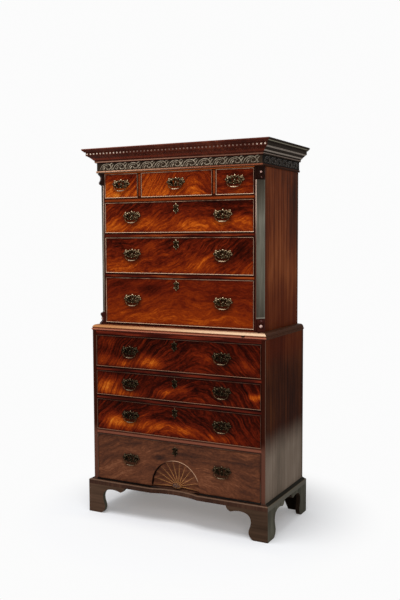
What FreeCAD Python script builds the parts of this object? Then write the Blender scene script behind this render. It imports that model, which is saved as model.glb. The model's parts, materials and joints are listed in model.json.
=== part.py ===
import FreeCAD, Part
import os
import re
from math import asin, cos, degrees, pi, sin, sqrt

# A mahogany chest on chest: an upper case of six drawers standing on a lower case of four.
#
# Frame: X to the right, Y into the chest (its front looks towards -Y), Z up.  The origin lies on the
# floor under the middle of the whole chest.  Rows of drawers are numbered 1 to 8 from the top.

doc = FreeCAD.newDocument("chest_on_chest")
Vector = FreeCAD.Vector
ACROSS, DEEP, UP = Vector(1, 0, 0), Vector(0, 1, 0), Vector(0, 0, 1)

# ---------------------------------------------------------------- driving sizes, in millimetres

SIZES = [
    ("lower_width", 982, "over the sides of the lower case"),
    ("lower_depth", 500, "front to back of the lower case"),
    ("upper_setback", 25, "front of the upper case behind the front of the lower"),
    ("side_setback", 32, "side of the upper case inside the side of the lower"),
    ("side_thickness", 22, "side boards"),
    ("board_thickness", 20, "top and bottom boards"),
    ("back_thickness", 10, "back boards"),
    ("rail_height", 22, "rail between two rows of drawers"),
    ("rail_depth", 60, "front rails, front to back"),
    ("dust_thickness", 8, "dustboard between a pair of runners"),
    ("runner_width", 40, "strip that a drawer side runs on"),
    ("guide_height", 30, "strip that keeps a drawer straight"),
    ("stop_height", 5, "drawer stop above its rail"),
    ("stop_width", 40, "drawer stop, side to side"),
    ("stop_depth", 15, "drawer stop, front to back"),
    ("stop_spacing", 300, "from stop to stop under one long drawer"),
    ("foot_height", 150, "floor to the underside of the case"),
    ("lower_bottom_rail", 30, "rail under row 8"),
    ("row_8_height", 242, "opening of the bottom drawer"),
    ("row_7_height", 163, "opening"),
    ("row_6_height", 127, "opening"),
    ("row_5_height", 165, "opening"),
    ("lower_top_rail", 20, "board over row 5"),
    ("upper_bottom_rail", 45, "rail under row 4, mostly behind the waist moulding"),
    ("row_4_height", 235, "opening"),
    ("row_3_height", 183, "opening"),
    ("row_2_height", 156, "opening"),
    ("row_1_height", 124, "opening of the three short drawers"),
    ("centre_opening", 402, "width of the middle short drawer's opening"),
    ("divider_thickness", 18.5, "upright between two short drawers"),
    ("frieze_rise", 16, "from row 1 to the frieze"),
    ("frieze_height", 41, "frieze band"),
    ("frieze_projection", 5, "frieze beyond the case"),
    ("astragal_height", 10, "round moulding under the frieze"),
    ("astragal_projection", 9, "beyond the case"),
    ("cornice_height", 71, "frieze to the very top"),
    ("cornice_projection", 62, "beyond the case"),
    ("top_recess", 15, "case top below the top of the cornice"),
    ("frieze_rail_thickness", 22, "board behind the frieze"),
    ("corner_post", 38.5, "square section of the upper front corners"),
    ("cant", 29, "how far the canted corner is cut back along each face"),
    ("cant_fillet", 4, "width of the narrow moulding round the canted panel"),
    ("cant_fillet_rise", 2.5, "its height above the panel"),
    ("corbel_height", 63, "scroll bracket at each end of the canted panel"),
    ("corbel_reach", 20, "how far it stands out from the panel"),
    ("corbel_margin", 3, "panel left bare on each side of it"),
    ("waist_height", 33, "waist moulding"),
    ("waist_projection", 4.4, "beyond the lower case"),
    ("waist_gap", 0.5, "moulding to the upper case inside it"),
    ("base_height", 30, "base moulding"),
    ("base_projection", 21.5, "beyond the lower case, feet too"),
    ("base_recess", 24, "how far the base swings in under the carved fan"),
    ("bracket_thickness", 22, "bracket feet"),
    ("foot_tread", 72, "flat of a foot on the floor"),
    ("foot_bulge", 28, "how far the scroll swells past the flat"),
    ("foot_neck", 16, "how far the neck above it stays past the flat"),
    ("foot_reach", 221, "length of a front bracket along the case"),
    ("side_foot_reach", 215, "length of a side bracket along the case"),
    ("foot_drop", 16, "half the width of the small drop at a bracket's far end"),
    ("back_foot_reach", 115, "length of the plain back bracket"),
    ("back_bracket_thickness", 18, "plain back bracket"),
    ("glue_block", 30, "block in the corner of each foot"),
    ("block_lift", 12, "glue block above the floor"),
    ("drawer_gap", 1, "opening to drawer front, all round"),
    ("running_gap", 0.3, "drawer side over its runner"),
    ("front_thickness", 20, "drawer fronts"),
    ("carved_thickness", 46, "front of the carved bottom drawer"),
    ("bead_thickness", 3, "cock bead, seen from the front"),
    ("bead_depth", 8, "cock bead let into the front"),
    ("bead_projection", 3, "cock bead beyond the front"),
    ("drawer_side", 10, "drawer sides and backs"),
    ("drawer_bottom", 7, "drawer bottoms"),
    ("bottom_rise", 8, "drawer bottom above the lower edge of the sides"),
    ("side_drop", 6, "drawer sides below the top of the opening"),
    ("back_drop", 8, "drawer back below the sides"),
    ("rear_space", 18, "drawer back to the back boards"),
    ("fan_radius", 136, "carved fan"),
    ("fan_rise", 8, "centre of the fan above the drawer's lower edge"),
    ("fan_edge", 7, "crisp sunk edge round the fan"),
    ("fan_ledge", 2, "flat left between that edge and the hollow"),
    ("fan_depth", 28, "hollow of the fan at its centre"),
    ("fan_rays", 11, "flutes of the fan"),
    ("flute_radius", 24, "section of one flute"),
    ("flute_rim_depth", 11, "flute below the drawer's face at the rim"),
    ("flute_heart_depth", 29, "flute below the drawer's face at the centre"),
    ("fan_boss", 26, "radius of the boss that the rays spring from"),
    ("fan_boss_depth", 8, "face of the boss behind the drawer's face"),
    ("upper_handle_inset", 163.5, "end of a long upper drawer's opening to the middle of its handle"),
    ("lower_handle_inset", 208, "the same in the lower case"),
    ("handle_rise", 8, "posts above the middle of the drawer"),
    ("post_spacing", 54, "from post to post of one handle"),
    ("post_radius", 2.5, "shank of a post"),
    ("post_ball", 5.5, "radius of a post's head"),
    ("post_tail", 7, "shank past the inside of the drawer front"),
    ("nut_radius", 6, "nut on the inside"),
    ("nut_thickness", 4, "nut on the inside"),
    ("pin_radius", 1.5, "pivot ends of a bail"),
    ("pin_gap", 0.1, "bail pin in its post, radial"),
    ("shank_gap", 0.05, "post in its plate, nut and hole, radial"),
    ("pivot_reach", 10, "bail pivot in front of the drawer's face"),
    ("bail_radius", 2.3, "half the thickness of a bail"),
    ("bail_elbow", 5, "bend at each end of a bail"),
    ("bail_drop", 34, "pivot to the middle of the grip"),
    ("bail_side_gap", 0.5, "bail shoulder to the post's head"),
    ("plate_width", 105, "pierced back plate"),
    ("plate_top", 25, "its finial above the posts"),
    ("plate_bottom", 21, "its lowest point below the posts"),
    ("plate_thickness", 2, "back plates and escutcheons"),
    ("escutcheon_width", 34, "escutcheon"),
    ("escutcheon_height", 53, "escutcheon"),
    ("keyhole_drop", 38, "keyhole below the top of the opening"),
    ("carved_keyhole_drop", 48, "the same on the carved drawer"),
    ("keyhole_radius", 2.6, "round part of a keyhole"),
    ("keyhole_slot", 3, "width of the slot under it"),
    ("keyhole_length", 9, "length of the slot under it"),
    ("lock_width", 60, "lock case"),
    ("lock_margin", 7, "lock case below the keyhole"),
    ("lock_thickness", 12, "lock case"),
    ("lock_drop", 2, "lock case below the top of the opening"),
    ("bolt_width", 20, "lock bolt"),
    ("bolt_height", 24, "lock bolt"),
    ("bolt_thickness", 5, "lock bolt"),
    ("bolt_gap", 0.3, "bolt in its slot, on each side"),
    ("mortise_depth", 9, "mortise for the bolt in the rail above"),
]

# Planes and levels that several pieces share, worked out from the driving sizes.
PLACES = [
    ("back_y", "(lower_depth + cornice_projection - upper_setback) / 2"),
    ("lower_front", "back_y - lower_depth"),
    ("upper_front", "lower_front + upper_setback"),
    ("lower_half", "lower_width / 2"),
    ("upper_half", "lower_half - side_setback"),
    ("lower_inside", "lower_half - side_thickness"),
    ("upper_inside", "upper_half - corner_post"),
    ("upper_side_inside", "upper_half - side_thickness"),
    ("divider_x", "(centre_opening + divider_thickness) / 2"),
    ("base_sweep", "(fan_radius ^ 2 + base_recess ^ 2) / (2 * base_recess)"),
    ("base_sweep_y", "lower_front + base_recess - base_sweep"),
    ("row_8_bottom", "foot_height + lower_bottom_rail"),
    ("row_8_top", "row_8_bottom + row_8_height"),
    ("row_7_bottom", "row_8_top + rail_height"),
    ("row_7_top", "row_7_bottom + row_7_height"),
    ("row_6_bottom", "row_7_top + rail_height"),
    ("row_6_top", "row_6_bottom + row_6_height"),
    ("row_5_bottom", "row_6_top + rail_height"),
    ("row_5_top", "row_5_bottom + row_5_height"),
    ("lower_top", "row_5_top + lower_top_rail"),
    ("row_4_bottom", "lower_top + upper_bottom_rail"),
    ("row_4_top", "row_4_bottom + row_4_height"),
    ("row_3_bottom", "row_4_top + rail_height"),
    ("row_3_top", "row_3_bottom + row_3_height"),
    ("row_2_bottom", "row_3_top + rail_height"),
    ("row_2_top", "row_2_bottom + row_2_height"),
    ("row_1_bottom", "row_2_top + rail_height"),
    ("row_1_top", "row_1_bottom + row_1_height"),
    ("waist_top", "lower_top + waist_height"),
    ("frieze_bottom", "row_1_top + frieze_rise"),
    ("frieze_top", "frieze_bottom + frieze_height"),
    ("cornice_top", "frieze_top + cornice_height"),
    ("upper_top", "cornice_top - top_recess"),
    ("waist_front_in", "upper_setback - waist_gap"),
    ("waist_side_in", "side_setback - waist_gap"),
    ("cant_bottom", "waist_top + waist_gap"),
    ("cant_top", "frieze_bottom - astragal_height"),
]

sizes = doc.addObject("Spreadsheet::Sheet", "Sizes")
places = doc.addObject("Spreadsheet::Sheet", "Places")
OWNER = {}


def linked(formula):
    """The formula with each named size or place written as a reference to its sheet."""
    return re.sub(r"[a-z][a-z0-9_]*", lambda word: OWNER.get(word.group(), "") + word.group(), formula)


for line, (name, number, note) in enumerate(SIZES, start=1):
    sizes.set(f"A{line}", name)
    sizes.set(f"B{line}", str(number))
    sizes.set(f"C{line}", note)
    sizes.setAlias(f"B{line}", name)
    OWNER[name] = "Sizes."
for line, (name, formula) in enumerate(PLACES, start=1):
    places.set(f"A{line}", name)
    places.set(f"B{line}", "=" + re.sub(r"Places\.", "", linked(formula)))
    places.setAlias(f"B{line}", name)
    OWNER[name] = "Places."
doc.recompute()


def value(name):
    """The number that a named size or place holds now."""
    sheet = sizes if OWNER[name] == "Sizes." else places
    return float(getattr(sheet, name))


# ---------------------------------------------------------------- ways of making a piece

def bind(piece, **formulas):
    """Tie properties of a piece to formulas; a double underscore stands for a dot."""
    for name, formula in formulas.items():
        piece.setExpression(name.replace("__", "."), linked(formula))
    return piece


def put(piece, x="0", y="0", z="0"):
    """Place a piece by one formula for each axis."""
    return bind(piece, Placement__Base__x=x, Placement__Base__y=y, Placement__Base__z=z)


def board(name, x, y, z):
    """A square-edged board; each axis is a pair of formulas, from and to."""
    piece = doc.addObject("Part::Box", name)
    bind(piece, Length=f"({x[1]}) - ({x[0]})", Width=f"({y[1]}) - ({y[0]})", Height=f"({z[1]}) - ({z[0]})")
    return put(piece, x[0], y[0], z[0])


TURN_TO = {
    "x": FreeCAD.Rotation(DEEP, 90),
    "y": FreeCAD.Rotation(ACROSS, -90),
    "z": FreeCAD.Rotation(),
}


def rod(name, axis, radius, length, x="0", y="0", z="0"):
    """A round rod along one axis, starting at x, y, z."""
    piece = doc.addObject("Part::Cylinder", name)
    piece.Placement = FreeCAD.Placement(Vector(), TURN_TO[axis])
    bind(piece, Radius=radius, Height=length)
    return put(piece, x, y, z)


def ball(name, radius, x="0", y="0", z="0"):
    """A whole sphere."""
    piece = doc.addObject("Part::Sphere", name)
    bind(piece, Radius=radius)
    return put(piece, x, y, z)


def bend(name, ring, thickness, start, sweep, x="0", y="0", z="0"):
    """Part of a torus that stands in the XZ plane; angles run from +X towards +Z."""
    piece = doc.addObject("Part::Torus", name)
    upright = FreeCAD.Rotation(ACROSS, 90).multiply(FreeCAD.Rotation(UP, start))
    piece.Placement = FreeCAD.Placement(Vector(), upright)
    piece.Angle3 = sweep
    bind(piece, Radius1=ring, Radius2=thickness)
    return put(piece, x, y, z)


def fuse(name, *parts):
    """One solid made of several."""
    piece = doc.addObject("Part::MultiFuse", name)
    piece.Shapes = list(parts)
    return piece


def cut(name, base, *tools):
    """The base without the tools."""
    for tool in tools:
        piece = doc.addObject("Part::Cut", name)
        piece.Base, piece.Tool = base, tool
        base = piece
    return base


def common(name, *parts):
    """What the parts share."""
    piece = doc.addObject("Part::MultiCommon", name)
    piece.Shapes = list(parts)
    return piece


def mirrored(name, source):
    """The same piece on the other side of the chest."""
    piece = doc.addObject("Part::Mirroring", name)
    piece.Source, piece.Base, piece.Normal = source, Vector(), ACROSS
    return piece


def copy_of(name, source, x="0", y="0", z="0"):
    """Another casting from the same pattern, moved to x, y, z."""
    piece = doc.addObject("App::Link", name)
    piece.LinkedObject = source
    return put(piece, x, y, z)


def node(label, *solids):
    """One named sub-part that holds one or more separate solids."""
    piece = doc.addObject("Part::Compound", label)
    piece.Label = label
    piece.Links = list(solids)
    NODES.append(piece)
    return piece


NODES = []

# An outline is drawn in its own plane, u across and v up.
FACING_FRONT = FreeCAD.Rotation(ACROSS, 90)
PROFILE_OF_RETURN = FreeCAD.Rotation(ACROSS, 90)
PROFILE_OF_FRONT = FreeCAD.Rotation(UP, -90).multiply(PROFILE_OF_RETURN)


def outline(name, turn, start, *moves):
    """A closed sketch: a move of one point is a straight line, of two an arc through the first,
    and of more a smooth curve through them all."""
    sketch = doc.addObject("Sketcher::SketchObject", name)
    sketch.Placement = FreeCAD.Placement(Vector(), turn)
    here = Vector(*start)
    for move in moves + ((start,),):
        points = [here] + [Vector(*point) for point in move]
        here = points[-1]
        if len(points) == 2:
            if points[0].distanceToPoint(points[1]) > 1e-6:
                sketch.addGeometry(Part.LineSegment(*points))
        elif len(points) == 3:
            sketch.addGeometry(Part.Arc(*points))
        else:
            curve = Part.BSplineCurve()
            curve.interpolate(points)
            sketch.addGeometry(curve)
    return sketch


def pierce(sketch, *circles):
    """Round holes in an outline, each as u, v, radius."""
    for u, v, radius in circles:
        sketch.addGeometry(Part.Circle(Vector(u, v, 0), UP, radius))
    return sketch


def extrude(name, sketch, direction, length):
    """A sketch pulled straight out into a solid."""
    piece = doc.addObject("Part::Extrusion", name)
    piece.Base, piece.DirMode, piece.Dir, piece.Solid = sketch, "Custom", direction, True
    return bind(piece, LengthFwd=length)


def mitre_wedge(name, half, front, out, front_in, side_in, low, high):
    """The block in front of the two mitre planes, which run from the outer corners to the inner ones."""
    piece = doc.addObject("Part::Wedge", name)
    bind(piece,
         Xmin=f"-({half}) - ({out})", Xmax=f"({half}) + ({out})",
         X2min=f"-({half}) + ({side_in})", X2max=f"({half}) - ({side_in})",
         Ymin=f"({front}) - ({out})", Ymax=f"({front}) + ({front_in})",
         Zmin=low, Z2min=low, Zmax=high, Z2max=high)
    return piece


def mitred(name, profile, half, front, out, low, high, front_in=None, side_in=None):
    """A front length and two returns of one moulding, mitred at the corners.

    profile(stretch) gives the start and moves of its outline: u outwards from the face of the case,
    v up from the level low.  A frame that reaches in over the case is named with front_in and side_in,
    and where it is deeper at the sides its returns are stretched."""
    side_stretch = 1.0
    if side_in:
        side_stretch = (value(side_in) + value(out)) / (value(front_in) + value(out))
    wedge = mitre_wedge(name + "_mitre", half, front, out, front_in or "0", side_in or "0", low, high)
    face = outline(name + "_front_profile", PROFILE_OF_FRONT, *profile(1.0))
    put(face, f"-({half}) - ({out})", front, low)
    length = extrude(name + "_front_length", face, ACROSS, f"2 * (({half}) + ({out}))")
    end = outline(name + "_return_profile", PROFILE_OF_RETURN, *profile(side_stretch))
    put(end, half, f"({front}) - ({out})", low)
    run = extrude(name + "_return_length", end, DEEP, f"back_y - ({front}) + ({out})")
    right = cut(name + "_right", run, wedge)
    return [common(name + "_front", length, wedge), right, mirrored(name + "_left", right)]


# ---------------------------------------------------------------- lower case

def lower_case():
    """The carcase that stands on the feet and holds rows 5 to 8."""
    full_depth = ("lower_front", "back_y")
    right = board("lower_side", ("lower_inside", "lower_half"), full_depth, ("foot_height", "lower_top"))
    node("lower_case_sides", right, mirrored("lower_side_left", right))

    between = ("-lower_inside", "lower_inside")
    behind_rail = ("lower_front + rail_depth", "back_y")
    floor = board("lower_floor", between, behind_rail, ("row_8_bottom - board_thickness", "row_8_bottom"))
    top = board("lower_top_board", between, full_depth, ("row_5_top", "lower_top"))
    node("lower_case_boards", floor, cut("lower_top_board_mortised", top, mortise(5, "lower_front")))

    back = back_boards("lower_back", "lower_inside", "row_8_bottom", "row_5_top")
    node("lower_back_boards", *back)

    rail_run = ("lower_front", "lower_front + rail_depth")
    bottom_rail = board("lower_rail_8", between, rail_run, ("foot_height", "row_8_bottom"))
    hollow = rod("lower_rail_hollow", "z", "base_sweep", "lower_bottom_rail + 2", "0", "base_sweep_y",
                 "foot_height - 1")
    rails = [cut("lower_rail_8_hollowed", bottom_rail, hollow)]
    for row in (5, 6, 7):
        rail = board(f"lower_rail_{row}", between, rail_run, (f"row_{row + 1}_top", f"row_{row}_bottom"))
        rails.append(cut(f"lower_rail_{row}_mortised", rail, mortise(row + 1, "lower_front")))
    for row in (5, 6, 7, 8):
        rails += stops(f"stop_row_{row}", row, "lower_front", ("-stop_spacing / 2", "stop_spacing / 2"))
    node("lower_drawer_rails", *rails)

    runners = []
    for row in (5, 6, 7):
        runners += runner_level(f"lower_level_{row}", row, "lower_front", "lower_inside", "lower_inside")
    node("lower_drawer_runners", *runners)


def back_boards(name, half, low, high):
    """Three upright boards side by side between the sides."""
    boards = []
    for place in range(3):
        left = f"-({half}) + {place} * 2 * ({half}) / 3"
        right = f"-({half}) + {place + 1} * 2 * ({half}) / 3"
        boards.append(board(f"{name}_{place + 1}", (left, right), ("back_y - back_thickness", "back_y"),
                            (low, high)))
    return boards


def mortise(row, front):
    """The pocket that the lock bolt of a row rises into, in the piece above that row."""
    middle = f"{front} + {front_of(row)} + lock_thickness / 2"
    return board(f"mortise_row_{row}",
                 ("-bolt_width / 2 - bolt_gap", "bolt_width / 2 + bolt_gap"),
                 (f"{middle} - bolt_thickness / 2 - bolt_gap", f"{middle} + bolt_thickness / 2 + bolt_gap"),
                 (f"row_{row}_top - 1", f"row_{row}_top + mortise_depth"))


def front_of(row):
    """The size that gives the thickness of a row's drawer front."""
    return "carved_thickness" if row == 8 else "front_thickness"


def stops(name, row, front, centres):
    """Small blocks on the rail, behind the lower edge of the drawer front."""
    behind = f"{front} + {front_of(row)} + running_gap"
    blocks = []
    for place, centre in enumerate(centres, start=1):
        across = (f"({centre}) - stop_width / 2", f"({centre}) + stop_width / 2")
        blocks.append(board(f"{name}_{place}", across, (behind, f"{behind} + stop_depth"),
                            (f"row_{row}_bottom", f"row_{row}_bottom + stop_height")))
    return blocks


def runner_level(name, row, front, opening, inside):
    """The two runners of one row with the dustboard between them."""
    deep = (f"{front} + rail_depth", "back_y - back_thickness")
    level = (f"row_{row}_bottom - rail_height", f"row_{row}_bottom")
    right = board(f"{name}_runner", (f"{opening} - runner_width", inside), deep, level)
    middle = f"row_{row}_bottom - rail_height / 2"
    dust = board(f"{name}_dustboard", (f"-{opening} + runner_width", f"{opening} - runner_width"), deep,
                 (f"{middle} - dust_thickness / 2", f"{middle} + dust_thickness / 2"))
    return [right, mirrored(f"{name}_runner_left", right), dust]


def waist_profile(stretch):
    """A broad thumb moulding that slopes up to the upper case, over a quirk, a fillet and a hollow."""
    out, top = value("waist_projection"), value("waist_height")
    inner = out - (value("waist_front_in") + out) * stretch
    ease = lambda u: out - (out - u) * stretch
    return ((inner, 0), ((0, 0),), ((out * 0.25, top * 0.13), (out, top * 0.2)), ((out, top * 0.35),),
            ((ease(1.5), top * 0.4),), ((ease(1.5), top * 0.45),),
            ((ease(-2), top * 0.81), (ease(-12), top * 0.96)), ((inner, top),))


def base_profile(stretch):
    """A plain face with a small step and a hollow above it, up to the drawer opening."""
    out, top = value("base_projection"), value("base_height")
    return ((0, 0), ((out, 0),), ((out, top * 0.72),), ((out - 2.5, top * 0.78),),
            ((out * 0.45, top * 0.86), (out * 0.15, top)), ((0, top),))


def lower_mouldings():
    """The frame that holds the upper case in place, and the moulding over the feet."""
    waist = mitred("waist", waist_profile, "lower_half", "lower_front", "waist_projection",
                   "lower_top", "waist_top", "waist_front_in", "waist_side_in")
    node("waist_moulding", *waist)
    front, *returns = mitred("base", base_profile, "lower_half", "lower_front", "base_projection",
                             "foot_height", "foot_height + base_height")
    node("base_moulding", *swept_in(front), *returns)


def swept_in(front):
    """The front of the base in three lengths: the middle one curves in below the fan, and is mitred
    to the straight ones where they meet."""
    out, sweep, hollow = value("base_projection"), value("base_sweep"), value("base_recess")
    corner = sqrt(2 * hollow * (sweep - out) - hollow ** 2)
    ends = outline("base_sweep_ends", FreeCAD.Rotation(), (-corner, -out), ((corner, -out),),
                   ((value("fan_radius"), 0),), ((value("fan_radius"), hollow),),
                   ((-value("fan_radius"), hollow),), ((-value("fan_radius"), 0),))
    put(ends, "0", "lower_front", "foot_height")
    gap = extrude("base_sweep_gap", ends, UP, "base_height")
    face = outline("base_sweep_profile", PROFILE_OF_FRONT, *base_profile(1.0))
    put(face, "0", "lower_front + base_recess", "foot_height")
    ring = doc.addObject("Part::Revolution", "base_sweep_ring")
    ring.Source, ring.Axis, ring.Angle, ring.Solid = face, UP, 360, True
    bind(ring, Base__y="base_sweep_y")
    curve = common("base_sweep_curve", ring, gap)
    left, right = (("-lower_half - base_projection", "0"), ("0", "lower_half + base_projection"))
    straight = cut("base_straight", front, gap)
    lengths = []
    for side, span in (("left", left), ("right", right)):
        half = board(f"base_{side}_half", span, ("lower_front - base_projection", "lower_front + base_recess"),
                     ("foot_height", "foot_height + base_height"))
        lengths.append(common(f"base_front_{side}", straight, half))
    return [lengths[0], curve, lengths[1]]


def bracket_outline(name, turn, reach):
    """A shaped bracket: flat tread, swelling scroll, neck, arch and a small drop at the far end."""
    tread, high, far, brow = value("foot_tread"), value("foot_height"), value(reach), value("foot_drop")
    swell, neck = tread + value("foot_bulge"), tread + value("foot_neck")
    turn_in = tread + 0.72 * value("foot_bulge")
    arch, drop = neck + 0.43 * (far - neck), far - 1.6 * brow
    scroll = ((turn_in, high * 0.09), (swell, high * 0.25), (turn_in, high * 0.43), (neck, high * 0.58),
              (neck + brow / 2, high * 0.76), (arch, high * 0.885), (drop - brow, high * 0.86),
              (drop, high * 0.83))
    return outline(name, turn, (0, 0), ((tread, 0),), scroll, ((drop + brow, high * 0.88), (far, high)),
                   ((0, high),))


def bracket_feet():
    """Four feet, each of two brackets that meet at the corner, with a block glued inside."""
    half, front, out = "lower_half", "lower_front", "base_projection"
    inward = "bracket_thickness - base_projection"
    wedge = mitre_wedge("foot_mitre", half, front, out, inward, inward, "0", "foot_height")

    face = bracket_outline("front_bracket_outline", FreeCAD.Rotation(UP, 180).multiply(FACING_FRONT),
                           "foot_reach")
    put(face, f"{half} + {out}", f"{front} - {out}")
    blank = extrude("front_bracket_blank", face, DEEP, "bracket_thickness")
    front_right = common("front_bracket", blank, wedge)

    side = bracket_outline("side_bracket_outline", FreeCAD.Rotation(UP, 90).multiply(FACING_FRONT),
                           "side_foot_reach")
    put(side, f"{half} + {out}", f"{front} - {out}")
    side_blank = extrude("side_bracket_blank", side, -ACROSS, "bracket_thickness")
    side_right = cut("side_bracket", side_blank, wedge)

    rear = bracket_outline("rear_bracket_outline", FreeCAD.Rotation(UP, -90).multiply(FACING_FRONT),
                           "side_foot_reach")
    put(rear, f"{half} + {out}", "back_y")
    rear_right = extrude("rear_bracket", rear, -ACROSS, "bracket_thickness")

    tread, reach, high = value("foot_tread"), value("back_foot_reach"), value("foot_height")
    plain = outline("back_bracket_outline", FreeCAD.Rotation(UP, 180).multiply(FACING_FRONT),
                    (0, 0), ((tread, 0),), ((reach, high * 0.6),), ((reach, high),), ((0, high),))
    inner = f"{half} + {out} - bracket_thickness"
    put(plain, inner, "back_y - back_bracket_thickness")
    back_right = extrude("back_bracket", plain, DEEP, "back_bracket_thickness")

    block_x = (f"{inner} - glue_block", inner)
    block_z = ("block_lift", "foot_height")
    front_block_y = (f"{front} + {inward}", f"{front} + {inward} + glue_block")
    rear_block_y = ("back_y - back_bracket_thickness - glue_block", "back_y - back_bracket_thickness")
    front_block = board("front_glue_block", block_x, front_block_y, block_z)
    rear_block = board("rear_glue_block", block_x, rear_block_y, block_z)

    right = [front_right, side_right, rear_right, back_right, front_block, rear_block]
    node("bracket_feet", *right, *[mirrored(piece.Label + "_left", piece) for piece in right])


# ---------------------------------------------------------------- upper case

def upper_case():
    """The carcase that stands inside the waist moulding and holds rows 1 to 4."""
    behind_post = ("upper_front + corner_post", "back_y")
    right = board("upper_side", ("upper_side_inside", "upper_half"), behind_post,
                  ("lower_top", "upper_top"))
    node("upper_case_sides", right, mirrored("upper_side_left", right))

    between = ("-upper_side_inside", "upper_side_inside")
    floor = board("upper_floor", between, ("upper_front + rail_depth", "back_y"),
                  ("lower_top", "lower_top + board_thickness"))
    top = board("upper_top_board", between, ("upper_front + corner_post", "back_y"),
                ("upper_top - board_thickness", "upper_top"))
    node("upper_case_boards", floor, top)

    back = back_boards("upper_back", "upper_side_inside", "lower_top + board_thickness",
                       "upper_top - board_thickness")
    node("upper_back_boards", *back)

    node("upper_drawer_rails", *upper_rails())

    runners = []
    for row in (1, 2, 3, 4):
        runners += upper_level(row)
    node("upper_drawer_runners", *runners, *kickers())


def upper_rails():
    """Rails, dividers and stops across the front of the upper case."""
    between = ("-upper_inside", "upper_inside")
    rail_run = ("upper_front", "upper_front + rail_depth")
    rails = [board("upper_rail_4", between, rail_run, ("lower_top", "row_4_bottom"))]
    for row in (1, 2, 3):
        rail = board(f"upper_rail_{row}", between, rail_run, (f"row_{row + 1}_top", f"row_{row}_bottom"))
        rails.append(cut(f"upper_rail_{row}_mortised", rail, mortise(row + 1, "upper_front")))
    rails.append(board("frieze_rail", between, ("upper_front", "upper_front + frieze_rail_thickness"),
                       ("row_1_top", "upper_top")))
    divider = board("divider", ("centre_opening / 2", "centre_opening / 2 + divider_thickness"), rail_run,
                    ("row_1_bottom", "row_1_top"))
    rails += [divider, mirrored("divider_left", divider)]
    for row in (2, 3, 4):
        rails += stops(f"stop_row_{row}", row, "upper_front", ("-stop_spacing / 2", "stop_spacing / 2"))
    outer = "(centre_opening / 2 + divider_thickness + upper_inside) / 2"
    rails += stops("stop_row_1", 1, "upper_front", (f"-{outer}", "0", outer))
    return rails


def upper_level(row):
    """Runners, guides and dustboard of one row of the upper case."""
    name = f"upper_level_{row}"
    pieces = runner_level(name, row, "upper_front", "upper_inside", "upper_side_inside")
    deep = ("upper_front + rail_depth", "back_y - back_thickness")
    level = (f"row_{row}_bottom", f"row_{row}_bottom + guide_height")
    guide = board(f"{name}_guide", ("upper_inside", "upper_side_inside"), deep, level)
    pieces += [guide, mirrored(f"{name}_guide_left", guide)]
    if row == 1:
        pieces[2:3] = middle_runners(name, deep)
    return pieces


def middle_runners(name, deep):
    """Under the dividers: a runner that two short drawers share, its guide, and three dustboards."""
    level = ("row_1_bottom - rail_height", "row_1_bottom")
    runner = board(f"{name}_middle", ("divider_x - runner_width", "divider_x + runner_width"), deep, level)
    guide = board(f"{name}_middle_guide", ("centre_opening / 2", "centre_opening / 2 + divider_thickness"),
                  deep, ("row_1_bottom", "row_1_bottom + guide_height"))
    middle = "row_1_bottom - rail_height / 2"
    thick = (f"{middle} - dust_thickness / 2", f"{middle} + dust_thickness / 2")
    centre = board(f"{name}_centre_dustboard", ("-divider_x + runner_width", "divider_x - runner_width"),
                   deep, thick)
    outer = board(f"{name}_outer_dustboard", ("divider_x + runner_width", "upper_inside - runner_width"),
                  deep, thick)
    pieces = [centre]
    for piece in (runner, guide, outer):
        pieces += [piece, mirrored(piece.Label + "_left", piece)]
    return pieces


def kickers():
    """Strips over the short drawers that keep them level as they come out."""
    deep = ("upper_front + frieze_rail_thickness", "back_y - back_thickness")
    level = ("row_1_top", "row_1_top + rail_height")
    middle = board("middle_kicker", ("divider_x - runner_width", "divider_x + runner_width"), deep, level)
    behind_post = ("upper_front + corner_post", "back_y - back_thickness")
    side = board("side_kicker", ("upper_inside - runner_width", "upper_side_inside"), behind_post, level)
    return [middle, mirrored("middle_kicker_left", middle), side, mirrored("side_kicker_left", side)]


def on_cant(name, along, out, z):
    """A board on the canted face: along it from its front edge, out from it, and up."""
    piece = doc.addObject("Part::Box", name)
    piece.Placement = FreeCAD.Placement(Vector(), FreeCAD.Rotation(UP, 45))
    bind(piece, Length=f"({along[1]}) - ({along[0]})", Width=f"({out[1]}) - ({out[0]})",
         Height=f"({z[1]}) - ({z[0]})")
    root = "sqrt(2)"
    return put(piece, f"upper_half - cant + (({along[0]}) + ({out[1]})) / {root}",
               f"upper_front + (({along[0]}) - ({out[1]})) / {root}", z[0])


def corbel(name):
    """A scroll bracket at the origin: its back on the plane y = 0, its wide end up, along +X.

    A block is hollowed by a large round and ends in a small volute."""
    wide, reach, high = "cant * sqrt(2) - 2 * corbel_margin", "corbel_reach", "corbel_height"
    volute = f"0.18 * ({high})"
    block = board(name + "_block", ("0", wide), (f"-({reach})", "0"), (f"-0.62 * ({high})", "0"))
    hollow = rod(name + "_hollow", "x", f"0.35 * ({high})", wide, "0",
                 f"-0.4 * ({reach}) - 0.35 * ({high})", f"-0.41 * ({high})")
    scroll = rod(name + "_scroll", "x", volute, wide, "0", f"-({reach}) * 0.8 + {volute}",
                 f"-0.77 * ({high})")
    behind = board(name + "_behind", ("-1", f"({wide}) + 1"), ("0", f"2 * {volute}"), (f"-({high})", "1"))
    tail = board(name + "_tail", ("0", wide), (f"-({reach}) * 0.25", "0"),
                 (f"-({high})", f"-0.6 * ({high})"))
    shaped = cut(name + "_shaped", block, hollow)
    return cut(name, fuse(name + "_whole", shaped, scroll, tail), behind)


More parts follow.
